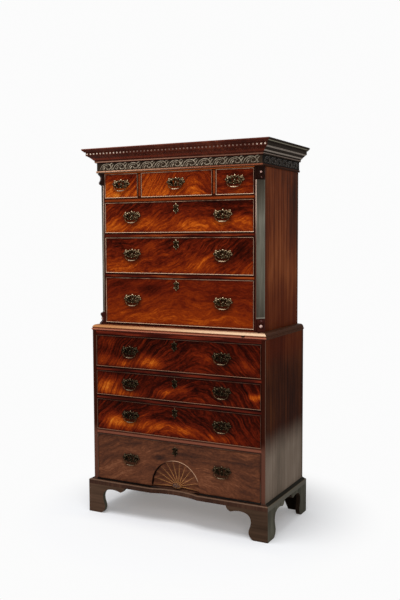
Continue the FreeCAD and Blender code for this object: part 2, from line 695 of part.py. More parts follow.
def canted_corners():
    """Square posts with the corner cut away between two corbels, and a thin moulding round the cut."""
    root = "sqrt(2)"
    post = board("corner_post_blank", ("upper_inside", "upper_half"),
                 ("upper_front", "upper_front + corner_post"), ("lower_top", "upper_top"))
    waste = on_cant("cant_waste", ("-cant", f"cant * {root} + cant"), ("0", f"cant * {root}"),
                    ("cant_bottom", "cant_top"))
    pieces = [cut("corner_post", post, waste)]

    wide = f"cant * {root}"
    low, high = "cant_bottom + corbel_height", "cant_top - corbel_height"
    rise = ("0", "cant_fillet_rise")
    inner = ("corbel_margin", f"{wide} - corbel_margin")
    pieces.append(on_cant("cant_fillet_front", (inner[0], f"{inner[0]} + cant_fillet"), rise,
                          (f"{low} + cant_fillet", f"{high} - cant_fillet")))
    pieces.append(on_cant("cant_fillet_side", (f"{inner[1]} - cant_fillet", inner[1]), rise,
                          (f"{low} + cant_fillet", f"{high} - cant_fillet")))
    pieces.append(on_cant("cant_fillet_bottom", inner, rise, (low, f"{low} + cant_fillet")))
    pieces.append(on_cant("cant_fillet_top", inner, rise, (f"{high} - cant_fillet", high)))

    for end, level in (("upper", "cant_top"), ("lower", "cant_bottom")):
        bracket = corbel(f"{end}_corbel")
        turn = FreeCAD.Rotation(UP, 45)
        along = "corbel_margin"
        if end == "lower":
            turn = turn.multiply(FreeCAD.Rotation(DEEP, 180))
            along = f"{wide} - corbel_margin"
        bracket.Placement = FreeCAD.Placement(Vector(), turn)
        put(bracket, f"upper_half - cant + ({along}) / {root}", f"upper_front + ({along}) / {root}", level)
        pieces.append(bracket)
    node("canted_corners", *pieces, *[mirrored(piece.Label + "_left", piece) for piece in pieces])


def frieze_profile(stretch):
    """A flat band."""
    out, high = value("frieze_projection"), value("frieze_height")
    return ((0, 0), ((out, 0),), ((out, high),), ((0, high),))


def astragal_profile(stretch):
    """A half round under a thin fillet."""
    out, high = value("astragal_projection"), value("astragal_height")
    half_round = high * 0.4
    return ((0, 0), ((out - half_round, 0),), ((out, half_round), (out - half_round, 2 * half_round)),
            ((out, 2 * half_round),), ((out, high),), ((0, high),))


def cornice_profile(stretch):
    """From the frieze up: quarter round, fillet, hollow, dentil band, hollow and top fillet."""
    out, high = value("cornice_projection"), value("cornice_height")
    return ((0, 0), ((8, 0),), ((12, 2), (14, high * 0.11)), ((14, high * 0.2),), ((17, high * 0.2),),
            ((29, high * 0.36), (out - 20, high * 0.5)), ((out - 16, high * 0.5),),
            ((out - 16, high * 0.76),), ((out - 11, high * 0.76),),
            ((out - 7, high * 0.82), (out - 1.5, high * 0.89)), ((out, high * 0.89),), ((out, high),),
            ((0, high),))


def upper_mouldings():
    """Frieze, astragal and cornice, each a front length and two returns."""
    half, front = "upper_half", "upper_front"
    band = mitred("frieze", frieze_profile, half, front, "frieze_projection", "frieze_bottom", "frieze_top")
    bead = mitred("astragal", astragal_profile, half, front, "astragal_projection", "cant_top",
                  "frieze_bottom")
    node("frieze", *band, *bead)
    crown = mitred("cornice", cornice_profile, half, front, "cornice_projection", "frieze_top",
                   "cornice_top")
    node("cornice", *crown)


# ---------------------------------------------------------------- brass

def symmetric_outline(name, start, right):
    """An outline that faces the front.  Its right half is given as arcs, from the top to the lowest
    point, and its left half mirrors them."""
    corners = [start] + [move[-1] for move in right]
    left = []
    for place in range(len(right) - 1, -1, -1):
        through, before = right[place][0], corners[place]
        left.append(((-through[0], through[1]), (-before[0], before[1])))
    return outline(name, FACING_FRONT, start, *right, *left)


def plate_pattern():
    """The pierced back plate of a handle, at the origin, its back on y = 0, posts at z = 0."""
    wide, top, low = value("plate_width") / 2, value("plate_top"), value("plate_bottom")
    post = value("post_spacing") / 2
    right = [((wide * 0.09, top * 0.86), (wide * 0.17, top * 0.6)),
             ((wide * 0.34, top * 0.84), (wide * 0.52, top * 0.56)),
             ((wide * 0.62, top * 0.78), (wide * 0.8, top * 0.8)),
             ((wide * 0.84, top * 0.5), (wide, top * 0.12)),
             ((wide * 0.95, -low * 0.16), (wide * 0.76, -low * 0.26)),
             ((wide * 0.72, -low * 0.6), (wide * 0.52, -low * 0.72)),
             ((wide * 0.36, -low * 0.95), (wide * 0.2, -low * 0.72)),
             ((wide * 0.12, -low * 0.94), (0, -low))]
    sketch = symmetric_outline("plate_outline", (0, top), right)
    hole = value("post_radius") + value("shank_gap")
    pierce(sketch, (post, 0, hole), (-post, 0, hole), (0, top * 0.42, top * 0.13))
    for side in (-1, 1):
        pierce(sketch, (side * post * 0.5, top * 0.12, top * 0.22),
               (side * wide * 0.74, top * 0.3, top * 0.14), (side * post * 0.42, -low * 0.42, low * 0.2))
    return extrude("plate_pattern", sketch, -DEEP, "plate_thickness")


def keyhole(name, length, x="0", y="0", z="0"):
    """A round hole with a slot under it, along +Y."""
    eye = rod(name + "_eye", "y", "keyhole_radius", length, x, y, z)
    slot = board(name + "_slot", (f"{x} - keyhole_slot / 2", f"{x} + keyhole_slot / 2"),
                 (y, f"({y}) + ({length})"), (f"({z}) - keyhole_length", z))
    return fuse(name, eye, slot)


def escutcheon_pattern():
    """A shaped plate with a keyhole, its back on y = 0, the eye of the keyhole at z = 0."""
    wide, high = value("escutcheon_width") / 2, value("escutcheon_height") / 2
    right = [((wide * 0.2, high * 0.78), (wide * 0.45, high * 0.66)),
             ((wide * 0.75, high * 0.68), (wide, high * 0.4)),
             ((wide * 0.62, high * 0.12), (wide * 0.86, -high * 0.12)),
             ((wide * 0.86, -high * 0.4), (wide * 0.4, -high * 0.6)),
             ((wide * 0.2, -high * 0.76), (0, -high))]
    sketch = symmetric_outline("escutcheon_outline", (0, high), right)
    blank = extrude("escutcheon_blank", sketch, -DEEP, "plate_thickness")
    hole = keyhole("escutcheon_keyhole", "plate_thickness + 2", "0", "-plate_thickness - 1", "0")
    return cut("escutcheon_pattern", blank, hole)


def post_pattern(name, thickness):
    """A post through a drawer front of the given thickness: shank, neck and drilled head."""
    shank = rod(name + "_shank", "y", "post_radius", f"plate_thickness + {thickness} + post_tail", "0",
                "-plate_thickness", "0")
    neck = rod(name + "_neck", "y", "post_ball * 0.7", "pivot_reach - plate_thickness", "0", "-pivot_reach",
               "0")
    head = ball(name + "_head", "post_ball", "0", "-pivot_reach", "0")
    eye = rod(name + "_eye", "x", "pin_radius + pin_gap", "2 * post_ball + 2", "-post_ball - 1",
              "-pivot_reach", "0")
    return cut(name, fuse(name + "_whole", shank, neck, head), eye)


def nut_pattern():
    """A plain round nut, its face on y = 0."""
    body = rod("nut_body", "y", "nut_radius", "nut_thickness")
    bore = rod("nut_bore", "y", "post_radius + shank_gap", "nut_thickness + 2", "0", "-1")
    return cut("nut_pattern", body, bore)


def bail_pattern():
    """A bail that hangs from its pivot line, which is the X axis."""
    post, shoulder = "post_spacing / 2", "post_spacing / 2 + post_ball + bail_side_gap"
    big = "bail_drop - bail_elbow"
    arm = f"({shoulder}) + bail_elbow"
    corner = f"{arm} - ({big})"
    grip = rod("bail_grip", "x", "bail_radius", f"2 * ({corner})", f"-({corner})", "0", "-bail_drop")
    parts = [grip]
    for side, sign, elbow_start, arm_start in (("right", "", 0, -90), ("left", "-", 90, 180)):
        start = f"{post} - pin_radius * 2" if side == "right" else f"-({shoulder})"
        length = f"({shoulder}) - ({post}) + pin_radius * 2"
        parts.append(rod(f"bail_pin_{side}", "x", "pin_radius", length, start))
        parts.append(bend(f"bail_elbow_{side}", "bail_elbow", "bail_radius", elbow_start, 90,
                          f"{sign}({shoulder})", "0", "-bail_elbow"))
        parts.append(bend(f"bail_arm_{side}", big, "bail_radius", arm_start, 90,
                          f"{sign}({corner})", "0", "-bail_elbow"))
    return fuse("bail_pattern", *parts)


# ---------------------------------------------------------------- drawers

def cock_beads(name, x, face, z, gap_for_fan):
    """Thin beads round a drawer front, each with a rounded nose that stands proud of it."""
    nose_y = f"{face} - bead_projection + bead_thickness / 2"
    run = (nose_y, f"{face} + bead_depth")
    beads = []
    levels = {"top": f"{z[1]} - bead_thickness", "bottom": z[0]}
    for edge, low in levels.items():
        spans = [x]
        if edge == "bottom" and gap_for_fan:
            spans = [(x[0], "-fan_radius"), ("fan_radius", x[1])]
        for place, (left, right) in enumerate(spans):
            body = board(f"{name}_{edge}_bead_{place}", (left, right), run,
                         (low, f"{low} + bead_thickness"))
            nose = rod(f"{name}_{edge}_nose_{place}", "x", "bead_thickness / 2", f"({right}) - ({left})",
                       left, nose_y, f"{low} + bead_thickness / 2")
            beads.append(fuse(f"{name}_{edge}_cock_bead_{place}", body, nose))
    upright = (f"{z[0]} + bead_thickness", f"{z[1]} - bead_thickness")
    for side, left in (("left", x[0]), ("right", f"{x[1]} - bead_thickness")):
        body = board(f"{name}_{side}_bead", (left, f"{left} + bead_thickness"), run, upright)
        nose = rod(f"{name}_{side}_nose", "z", "bead_thickness / 2", f"({upright[1]}) - ({upright[0]})",
                   f"{left} + bead_thickness / 2", nose_y, upright[0])
        beads.append(fuse(f"{name}_{side}_cock_bead", body, nose))
    return beads


def fan_tools(name, face, low):
    """What the carver takes out for the fan: a half round sunk square to the face, a shallow bowl
    inside it, and flutes that spread from the centre and stop at the edge of the bowl.

    Each flute follows an arc that starts inside the boss."""
    reach = "(fan_radius - fan_ledge)"
    hollow = "(fan_depth - fan_edge)"
    bowl_radius = f"({reach} ^ 2 + {hollow} ^ 2) / (2 * {hollow})"
    limit = rod(name + "_limit", "y", reach, "carved_thickness", "0", face, low)
    bowl = ball(name + "_bowl", bowl_radius, "0", f"{face} + fan_depth - {bowl_radius}", low)
    tools = [rod(name + "_sunk", "y", "fan_radius", "fan_edge + 1", "0", f"{face} - 1", low),
             common(name + "_bowl_kept", bowl, limit)]

    fall = "(flute_heart_depth - flute_rim_depth)"
    sweep = f"(fan_radius ^ 2 + {fall} ^ 2) / (2 * {fall})"
    drop = value("flute_heart_depth") - value("flute_rim_depth")
    sweep_size = (value("fan_radius") ** 2 + drop ** 2) / (2 * drop)
    start = degrees(asin(value("fan_boss") / 2 / sweep_size))
    end = degrees(asin(value("fan_radius") * 1.1 / sweep_size))
    rays = int(value("fan_rays"))
    for ray in range(rays):
        angle = pi * (ray + 0.5) / rays
        spoke = Vector(cos(angle), 0, sin(angle))
        flute = doc.addObject("Part::Torus", f"{name}_flute_{ray + 1}")
        turn = FreeCAD.Rotation(DEEP, spoke, DEEP.cross(spoke), "XYZ")
        flute.Placement = FreeCAD.Placement(Vector(), turn.multiply(FreeCAD.Rotation(UP, start)))
        flute.Angle3 = end - start
        bind(flute, Radius1=f"{sweep} - flute_radius", Radius2="flute_radius")
        put(flute, "0", f"{face} + flute_heart_depth - {sweep}", low)
        tools.append(common(f"{name}_flute_{ray + 1}_kept", flute, limit))
    return tools


def drawer(name, left, right, row, face, handles, carved=False):
    """One drawer with its brass; handles are formulas for their places across the drawer."""
    thick = front_of(row)
    locked = row != 1
    x = (f"{left} + drawer_gap", f"{right} - drawer_gap")
    low, high = f"row_{row}_bottom", f"row_{row}_top"
    z = (f"{low} + drawer_gap", f"{high} - drawer_gap")
    inside = f"{face} + {thick}"
    rear = "back_y - back_thickness - rear_space"
    post_z = f"({low} + {high}) / 2 + handle_rise"
    key_drop = "carved_keyhole_drop" if carved else "keyhole_drop"
    key_z = f"{high} - {key_drop}"

    core = board(name + "_core", x, (f"{face} + bead_depth", inside), z)
    facing = board(name + "_facing", (f"{x[0]} + bead_thickness", f"{x[1]} - bead_thickness"),
                   (face, f"{face} + bead_depth"), (f"{z[0]} + bead_thickness", f"{z[1]} - bead_thickness"))
    tools = []
    for place, centre in enumerate(handles):
        for side, sign in (("left", "-"), ("right", "+")):
            tools.append(rod(f"{name}_hole_{place}_{side}", "y", "post_radius + shank_gap",
                             f"{thick} + 2", f"({centre}) {sign} post_spacing / 2", f"{face} - 1", post_z))
    if locked:
        tools.append(keyhole(name + "_keyhole", f"{thick} + 2", "0", f"{face} - 1", key_z))
    if carved:
        facing = board(name + "_carved_facing", (f"{x[0]} + bead_thickness", f"{x[1]} - bead_thickness"),
                       (face, f"{face} + bead_depth"), (z[0], f"{z[1]} - bead_thickness"))
        tools += [board(f"{name}_rebate_{side}", span, (f"{face} - 1", f"{face} + bead_depth"),
                        (f"{z[0]} - 1", f"{z[0]} + bead_thickness"))
                  for side, span in (("left", (f"{x[0]} - 1", "-fan_radius")),
                                     ("right", ("fan_radius", f"{x[1]} + 1")))]
    front = cut(name + "_front", fuse(name + "_front_whole", core, facing), *tools)
    if carved:
        heart = f"{z[0]} + fan_rise"
        boss = ball(name + "_boss", "fan_boss", "0", f"{face} + fan_boss_depth + fan_boss", heart)
        boss = common(name + "_boss_kept", boss, front)
        front = cut(name + "_carved_front", front, *fan_tools(name + "_fan", face, heart))
        front = fuse(name + "_fan_front", front, boss)

    run = (inside, rear)
    side_z = (f"{low} + running_gap", f"{high} - side_drop")
    bottom_z = (f"{side_z[0]} + bottom_rise", f"{side_z[0]} + bottom_rise + drawer_bottom")
    between = (f"{x[0]} + drawer_side", f"{x[1]} - drawer_side")
    box = [
        board(name + "_left_side", (x[0], between[0]), run, side_z),
        board(name + "_right_side", (between[1], x[1]), run, side_z),
        board(name + "_bottom", between, run, bottom_z),
        board(name + "_back", between, (f"{rear} - drawer_side", rear),
              (bottom_z[1], f"{side_z[1]} - back_drop")),
    ]
    node(name, front, *cock_beads(name, x, face, z, carved), *box)

    brass = []
    for place, centre in enumerate(handles):
        tag = name if len(handles) == 1 else f"{name}_{('left', 'right')[place]}"
        brass.append(copy_of(tag + "_plate", PATTERNS["plate"], centre, face, post_z))
        for side, sign in (("left", "-"), ("right", "+")):
            across = f"({centre}) {sign} post_spacing / 2"
            brass.append(copy_of(f"{tag}_{side}_post", PATTERNS[thick], across, face, post_z))
            brass.append(copy_of(f"{tag}_{side}_nut", PATTERNS["nut"], across, inside, post_z))
        node(tag + "_bail", copy_of(tag + "_bail_casting", PATTERNS["bail"], centre,
                                    f"{face} - pivot_reach", post_z))
    if locked:
        brass.append(copy_of(name + "_escutcheon", PATTERNS["escutcheon"], "0", face, key_z))
        brass.append(lock(name, inside, high, key_z))
    node(name + "_brass", *brass)


def lock(name, inside, high, key_z):
    """A lock case on the inside of the front, open at the top for the bolt, and the bolt in it."""
    top = f"{high} - lock_drop"
    case = board(name + "_lock_blank", ("-lock_width / 2", "lock_width / 2"),
                 (inside, f"{inside} + lock_thickness"), (f"{key_z} - keyhole_length - lock_margin", top))
    middle = f"{inside} + lock_thickness / 2"
    slot = board(name + "_lock_slot", ("-bolt_width / 2 - bolt_gap", "bolt_width / 2 + bolt_gap"),
                 (f"{middle} - bolt_thickness / 2 - bolt_gap", f"{middle} + bolt_thickness / 2 + bolt_gap"),
                 (f"{top} - bolt_height - bolt_gap", f"{top} + 1"))
    bolt = board(name + "_bolt_bar", ("-bolt_width / 2", "bolt_width / 2"),
                 (f"{middle} - bolt_thickness / 2", f"{middle} + bolt_thickness / 2"),
                 (f"{top} - bolt_height", top))
    node(name + "_bolt", bolt)
    return cut(name + "_lock", case, slot)


PATTERNS = {
    "plate": plate_pattern(),
    "escutcheon": escutcheon_pattern(),
    "front_thickness": post_pattern("post", "front_thickness"),
    "carved_thickness": post_pattern("long_post", "carved_thickness"),
    "nut": nut_pattern(),
    "bail": bail_pattern(),
}


def drawers():
    """Three short drawers, three long ones under them, and four in the lower case."""
    outer = "centre_opening / 2 + divider_thickness"
    middle = f"({outer} + upper_inside) / 2"
    drawer("top_left_drawer", "-upper_inside", f"-({outer})", 1, "upper_front", [f"-{middle}"])
    drawer("top_centre_drawer", "-centre_opening / 2", "centre_opening / 2", 1, "upper_front", ["0"])
    drawer("top_right_drawer", outer, "upper_inside", 1, "upper_front", [middle])
    for number, row in enumerate((2, 3, 4), start=1):
        drawer(f"upper_drawer_{number}", "-upper_inside", "upper_inside", row, "upper_front",
               ["-upper_inside + upper_handle_inset", "upper_inside - upper_handle_inset"])
    for number, row in enumerate((5, 6, 7, 8), start=1):
        drawer(f"lower_drawer_{number}", "-lower_inside", "lower_inside", row, "lower_front",
               ["-lower_inside + lower_handle_inset", "lower_inside - lower_handle_inset"],
               carved=row == 8)


# ---------------------------------------------------------------- the whole chest

lower_case()
lower_mouldings()
bracket_feet()
upper_case()
canted_corners()
upper_mouldings()
drawers()
doc.recompute()

faults = [piece.Label for piece in doc.Objects if "Invalid" in piece.State or "Error" in piece.State]
for piece in NODES:
    if piece.Shape.isNull() or not piece.Shape.isValid() or not piece.Shape.Solids:
        faults.append(piece.Label + " has no sound shape")
if faults:
    raise SystemExit("not written, at fault: " + ", ".join(faults))

os.makedirs("parts", exist_ok=True)
for piece in NODES:
    piece.Shape.exportStep(f"parts/{piece.Label}.step")
    print(f"{piece.Label}: {len(piece.Shape.Solids)} solids, {piece.Shape.Volume / 1000:.1f} cm3")
whole = Part.makeCompound([piece.Shape for piece in NODES]).BoundBox
print(f"{len(NODES)} nodes, {whole.XLength:.1f} x {whole.YLength:.1f} x {whole.ZLength:.1f} mm")
print(f"x {whole.XMin:.1f} to {whole.XMax:.1f}, y {whole.YMin:.1f} to {whole.YMax:.1f}, "
      f"z {whole.ZMin:.1f} to {whole.ZMax:.1f}")
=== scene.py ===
# %% [markdown]
# # Dressing a chest on chest
# The joinery of this tall chest comes ready made: two carcases, ten drawers, their
# mouldings and their brasses, each a solid in its true place. This lesson gives every
# surface its finish, carves the ornament, bends the handles and lights the room.
# All lengths are in metres. X runs to the right of someone who faces the drawers,
# Y runs from the front to the back and Z runs up from the floor.

# %% Load the joinery
import json
import math
from functools import partialmethod

import bpy
from mathutils import Matrix, Vector

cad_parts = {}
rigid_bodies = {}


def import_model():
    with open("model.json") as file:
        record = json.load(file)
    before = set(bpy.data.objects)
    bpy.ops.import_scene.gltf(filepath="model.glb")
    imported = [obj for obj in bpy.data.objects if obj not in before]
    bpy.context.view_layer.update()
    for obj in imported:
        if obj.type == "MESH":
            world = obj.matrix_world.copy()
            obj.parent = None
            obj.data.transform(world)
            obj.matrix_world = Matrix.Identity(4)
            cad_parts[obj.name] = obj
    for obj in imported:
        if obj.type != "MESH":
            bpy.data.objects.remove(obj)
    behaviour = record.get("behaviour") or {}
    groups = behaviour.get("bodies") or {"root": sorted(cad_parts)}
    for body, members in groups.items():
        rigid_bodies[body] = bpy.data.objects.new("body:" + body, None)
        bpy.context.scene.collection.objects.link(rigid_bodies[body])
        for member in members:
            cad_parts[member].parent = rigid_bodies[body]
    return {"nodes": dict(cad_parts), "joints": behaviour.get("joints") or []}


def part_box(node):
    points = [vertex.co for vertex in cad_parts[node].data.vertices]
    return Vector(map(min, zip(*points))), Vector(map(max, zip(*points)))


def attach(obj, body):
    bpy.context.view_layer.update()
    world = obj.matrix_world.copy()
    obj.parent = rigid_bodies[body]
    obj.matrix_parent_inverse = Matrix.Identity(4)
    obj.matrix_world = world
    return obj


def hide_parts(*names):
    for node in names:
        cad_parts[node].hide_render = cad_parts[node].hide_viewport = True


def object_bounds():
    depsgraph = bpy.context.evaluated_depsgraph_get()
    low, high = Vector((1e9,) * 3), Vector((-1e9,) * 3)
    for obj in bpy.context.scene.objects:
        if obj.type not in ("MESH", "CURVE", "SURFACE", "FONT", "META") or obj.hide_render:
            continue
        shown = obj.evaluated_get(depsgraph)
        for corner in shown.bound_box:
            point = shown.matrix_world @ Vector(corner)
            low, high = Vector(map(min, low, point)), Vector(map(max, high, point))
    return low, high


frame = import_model()
cad_low, cad_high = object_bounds()
nodes = frame["nodes"]
print("joinery nodes:", len(nodes), "height:", round(cad_high.z, 3))

# %% [markdown]
# ## The camera
# The camera stands to the right of the chest, with its lens at the height of the middle
# long drawer of the upper case, and looks slightly down. Three angles turn it: the
# pitch, a very small roll and the turn to the left. A camera could be aimed by eye in
# the viewport, but numbers can be set again exactly. A long lens keeps upright edges
# nearly parallel, as in a furniture catalogue.

# %% Set the camera
def show(name, data, at=(0, 0, 0)):
    """Puts an object with this data into the scene."""
    made = bpy.data.objects.new(name, data)
    bpy.context.scene.collection.objects.link(made)
    made.location = at
    return made


camera = show("camera", bpy.data.cameras.new("camera"), (1.9544, -3.6861, 1.4438))
turn, pitch, roll = (math.radians(a) for a in (27.65, -4.413, -0.227))
camera.rotation_euler = (
    Matrix.Rotation(turn, 3, "Z")
    @ Matrix.Rotation(math.pi / 2 + pitch, 3, "X")
    @ Matrix.Rotation(roll, 3, "Z")
).to_euler()
camera.data.sensor_width = 36.0
camera.data.lens = 48.29
bpy.context.scene.camera = camera
bpy.context.scene.view_settings.view_transform = "Standard"
print("camera at", tuple(camera.location))

# %% [markdown]
# ## Where things are
# The box of each joinery node says where its faces are, so a carving can lie exactly
# on the board that carries it. Such places could be typed in as numbers, but a number
# that is read from the joinery is right even after the joiner has changed a board.

# %% Read the main places
low_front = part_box("lower_case_boards")[0].y
up_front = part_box("upper_drawer_rails")[0].y
back_face = cad_high.y
low_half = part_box("lower_case_sides")[1].x
up_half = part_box("upper_case_sides")[1].x
waist_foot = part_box("waist_moulding")[0].z
frieze_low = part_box("frieze")[0].z + 0.010
frieze_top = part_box("frieze")[1].z
bead_stands = 0.003
drawer_names = [n for n in nodes if n.endswith("_drawer") or n[:-1].endswith("_drawer_")]
swings = [joint for joint in frame["joints"] if joint["name"].endswith("_swing")]
print("fronts:", round(low_front, 4), round(up_front, 4), "drawers:", len(drawer_names),
      "bails:", len(swings))

# %% [markdown]
# ## A small vocabulary for finishes
# A finish is a material whose colour is worked out from the place of each point, so it
# needs no pictures. Blender wires such a material out of nodes. They could be placed
# and joined by hand in the shader editor, but this chest needs far too many, so three
# classes give them short names. The first does sums, where a value may be a number or
# the output of another node: `fade` is a soft step, and `near` and `band` draw lines at
# a known place. The second holds patterns: `noise` for grain and clouding, `pool` for
# a soft round patch. The third speaks like a polisher: `ramp` turns a number into a
# colour, and `coat` lays one more colour over what is there. Last, `dress` puts a
# finish on pieces of the joinery.

# %% Colours written as a painter writes them
def tint(code):
    """A colour such as 8A3A10, as the three linear numbers that Blender wants."""
    parts = [int(code[i:i + 2], 16) / 255 for i in (0, 2, 4)]
    return tuple(p / 12.92 if p < 0.04045 else ((p + 0.055) / 1.055) ** 2.4 for p in parts)


print("half grey:", [round(part, 3) for part in tint("BCBCBC")])

# %% Sums with nodes
class Wiring:
    """A tree of nodes, with short ways to add to it and to do sums in it."""

    def __init__(self, tree):
        self.tree = tree

    def plug(self, socket, value):
        if isinstance(value, bpy.types.NodeSocket):
            self.tree.links.new(value, socket)
        elif socket.type == "RGBA":
            socket.default_value = (*value[:3], 1)
        else:
            socket.default_value = value

    def node(self, kind, inputs=None, **settings):
        made = self.tree.nodes.new("ShaderNode" + kind)
        for key, value in settings.items():
            setattr(made, key, value)
        for key, value in (inputs or {}).items():
            self.plug(made.inputs[key], value)
        return made

    def calc(self, operation, *values):
        """One sum; with more than two values it goes on from each result to the next."""
        made = self.node("Math", dict(enumerate(values[:2])), operation=operation)
        result, more = made.outputs[0], values[2:]
        return self.calc(operation, result, *more) if more else result

    add = partialmethod(calc, "ADD")
    less = partialmethod(calc, "SUBTRACT")
    times = partialmethod(calc, "MULTIPLY")
    most = partialmethod(calc, "MAXIMUM")
    least = partialmethod(calc, "MINIMUM")
    size = partialmethod(calc, "ABSOLUTE")

    def fade(self, value, low, high):
        """0 below low, 1 above high, and a soft step between."""
        inputs = {0: value, 1: low, 2: high}
        return self.node("MapRange", inputs, interpolation_type="SMOOTHSTEP").outputs[0]

    def near(self, value, level, far, close):
        """1 where value is close to level, 0 where it is far from it."""
        return self.fade(self.size(self.less(value, level)), far, close)

    def band(self, value, low, high, soft):
        """1 from low to high, with a soft step inside each end."""
        return self.times(self.fade(value, low, low + soft), self.fade(value, high, high - soft))


print("words for sums:", [word for word in vars(Wiring) if word[0] != "_"])

# %% Patterns in space
class Pattern(Wiring):
    """Patterns that stay in their place on the chest."""

    def __init__(self, tree):
        super().__init__(tree)
        self.place = self.node("TexCoord").outputs["Object"]
        self.x, self.y, self.z = self.node("SeparateXYZ", {0: self.place}).outputs

    def facing(self):
        """How much a surface looks to the side, up and forward, each from 0 to 1."""
        normal = self.node("NewGeometry").outputs["Normal"]
        normal = self.node("SeparateXYZ", {0: normal}).outputs
        return (self.fade(self.size(normal[0]), 0.5, 0.8), self.fade(normal[2], 0.25, 0.75),
                self.fade(normal[1], -0.6, -0.9))

    def moved(self, *shift):
        return self.node("VectorMath", {0: self.place, 1: shift}).outputs[0]

    def noise(self, scale, detail=2.0, rough=0.5, bend=0.0, place=None):
        """Soft noise. Three scales, one for each axis, draw it out into grain."""
        place = place or self.place
        if isinstance(scale, tuple):
            place = self.node("Mapping", {"Vector": place, "Scale": scale}).outputs[0]
            scale = 1.0
        inputs = {"Vector": place, "Scale": scale, "Detail": detail,
                  "Roughness": rough, "Distortion": bend}
        return self.node("TexNoise", inputs).outputs["Fac"]

    def pool(self, centre, size):
        """1 at the centre of a soft round patch, 0 outside it."""
        inputs = {"Vector": self.place, "Location": centre, "Scale": size}
        moved = self.node("Mapping", inputs, vector_type="TEXTURE")
        ball = self.node("TexGradient", {0: moved.outputs[0]}, gradient_type="SPHERICAL")
        return self.fade(ball.outputs["Fac"], 0.0, 1.0)


print("words for patterns:", [word for word in vars(Pattern) if word[0] != "_"])

# %% Words of the polisher
class Finish(Pattern):
    """A material that is built up coat by coat."""

    def __init__(self, name, **values):
        self.material = bpy.data.materials.new(name)
        self.material.use_nodes = True
        super().__init__(self.material.node_tree)
        self.shader = self.tree.nodes["Principled BSDF"]
        for key, value in values.items():
            self.plug(self.shader.inputs[key.replace("_", " ")], value)
        self.rough = None

    def ramp(self, value, *stops):
        made = self.node("ValToRGB", {0: value})
        spots = made.color_ramp.elements
        while len(spots) < len(stops):
            spots.new(0.5)
        for spot, (where, colour) in zip(spots, stops):
            spot.position = where
            spot.color = (*tint(colour), 1)
        return made.outputs[0]

    def mix(self, amount, first, second):
        made = self.node("Mix", data_type="RGBA")
        for index, value in ((0, amount), (6, first), (7, second)):
            self.plug(made.inputs[index], tint(value) if isinstance(value, str) else value)
        return made.outputs[2]

    def coat(self, amount, colour, share=1.0):
        """Lays a colour over the one so far; share thins it."""
        amount = amount if share == 1.0 else self.times(amount, share)
        self.colour = self.mix(amount, self.colour, colour)

    def bump(self, height, depth, strength):
        made = self.node("Bump", {"Height": height, "Distance": depth, "Strength": strength})
        self.plug(self.shader.inputs["Normal"], made.outputs[0])

    def done(self):
        """Joins the colour and the roughness to the shader."""
        self.plug(self.shader.inputs["Base Color"], self.colour)
        if self.rough is not None:
            self.plug(self.shader.inputs["Roughness"], self.rough)
        return self.material


print("words of the polisher:", [word for word in vars(Finish) if word[0] != "_"])

# %% Put a finish on joinery
def dress(names, finish):
    material = finish.done()
    for name in names:
        data = nodes[name].data
        data.materials.clear()
        data.materials.append(material)
    print(material.name, "on", len(names), "nodes")


print("nodes to dress:", len(nodes))

# %% [markdown]
# ## Straight mahogany
# The sides of the carcases are plain boards with their grain upright. Grain is noise
# that has been pulled long one way: squeezed hard across the board and hardly at all
# along it, it turns into streaks. A picture of wood could be used, but it repeats and
# has to be fitted to every board. Noise never repeats and fits any board.

# %% Straight mahogany
grain_across, grain_along = 38, 0.8


def straight_mahogany(name, dark, middle, light, seed, rough=0.42, shine=0.02, spread=0.18):
    wood = Finish(name, Specular_IOR_Level=shine)
    place = wood.moved(seed, seed, seed)
    streak = wood.noise((grain_across, grain_across, grain_along), 5, 0.65, 0.6, place)
    fine = wood.noise((150, 150, 5), 3, 0.6, place=place)
    cloud = wood.noise((5, 5, 2.6), 3, place=place)
    wood.grain = wood.add(wood.times(streak, 0.42), wood.times(fine, 0.28),
                          wood.times(cloud, 0.42))
    wood.colour = wood.ramp(wood.grain, (0.56 - spread, dark), (0.56, middle),
                            (0.56 + spread, light))
    wood.rough = wood.add(rough - 0.06, wood.times(cloud, 0.12))
    wood.bump(fine, 0.0002, 0.5)
    return wood


print("streaks are", round(grain_across / grain_along), "times as long as they are wide")

# %% [markdown]
# ## The sides of the two cases
# The sides are wide plain boards. The upper ones have kept their red. Wax, dust and two
# centuries of hands darken their edges. The lower ones are darker, and towards their
# foot a grey painted reflection of the pale floor lies over the polish, strongest when
# one looks along the board. A picture of wood could be wrapped round them, but it would
# stretch and show a seam. So the painted reflection is a soft step in Z, made uneven
# with a little noise and stronger at a slant. The front edges of the boards, which
# frame the drawers, get a colour of their own.

# %% Upper sides
wood = straight_mahogany("upper_side_mahogany", "2E150B", "632E17", "8E4E2A", 3.1,
                         shine=0.005, spread=0.14)
wood.coat(wood.fade(wood.y, up_front + 0.09, up_front + 0.03), "2A140C", 0.55)
wood.coat(wood.fade(wood.y, back_face - 0.05, back_face), "2A1C12", 0.5)
wood.coat(wood.fade(wood.z, 1.35, 1.02), "4A1806", 0.65)
dress(["upper_case_sides"], wood)

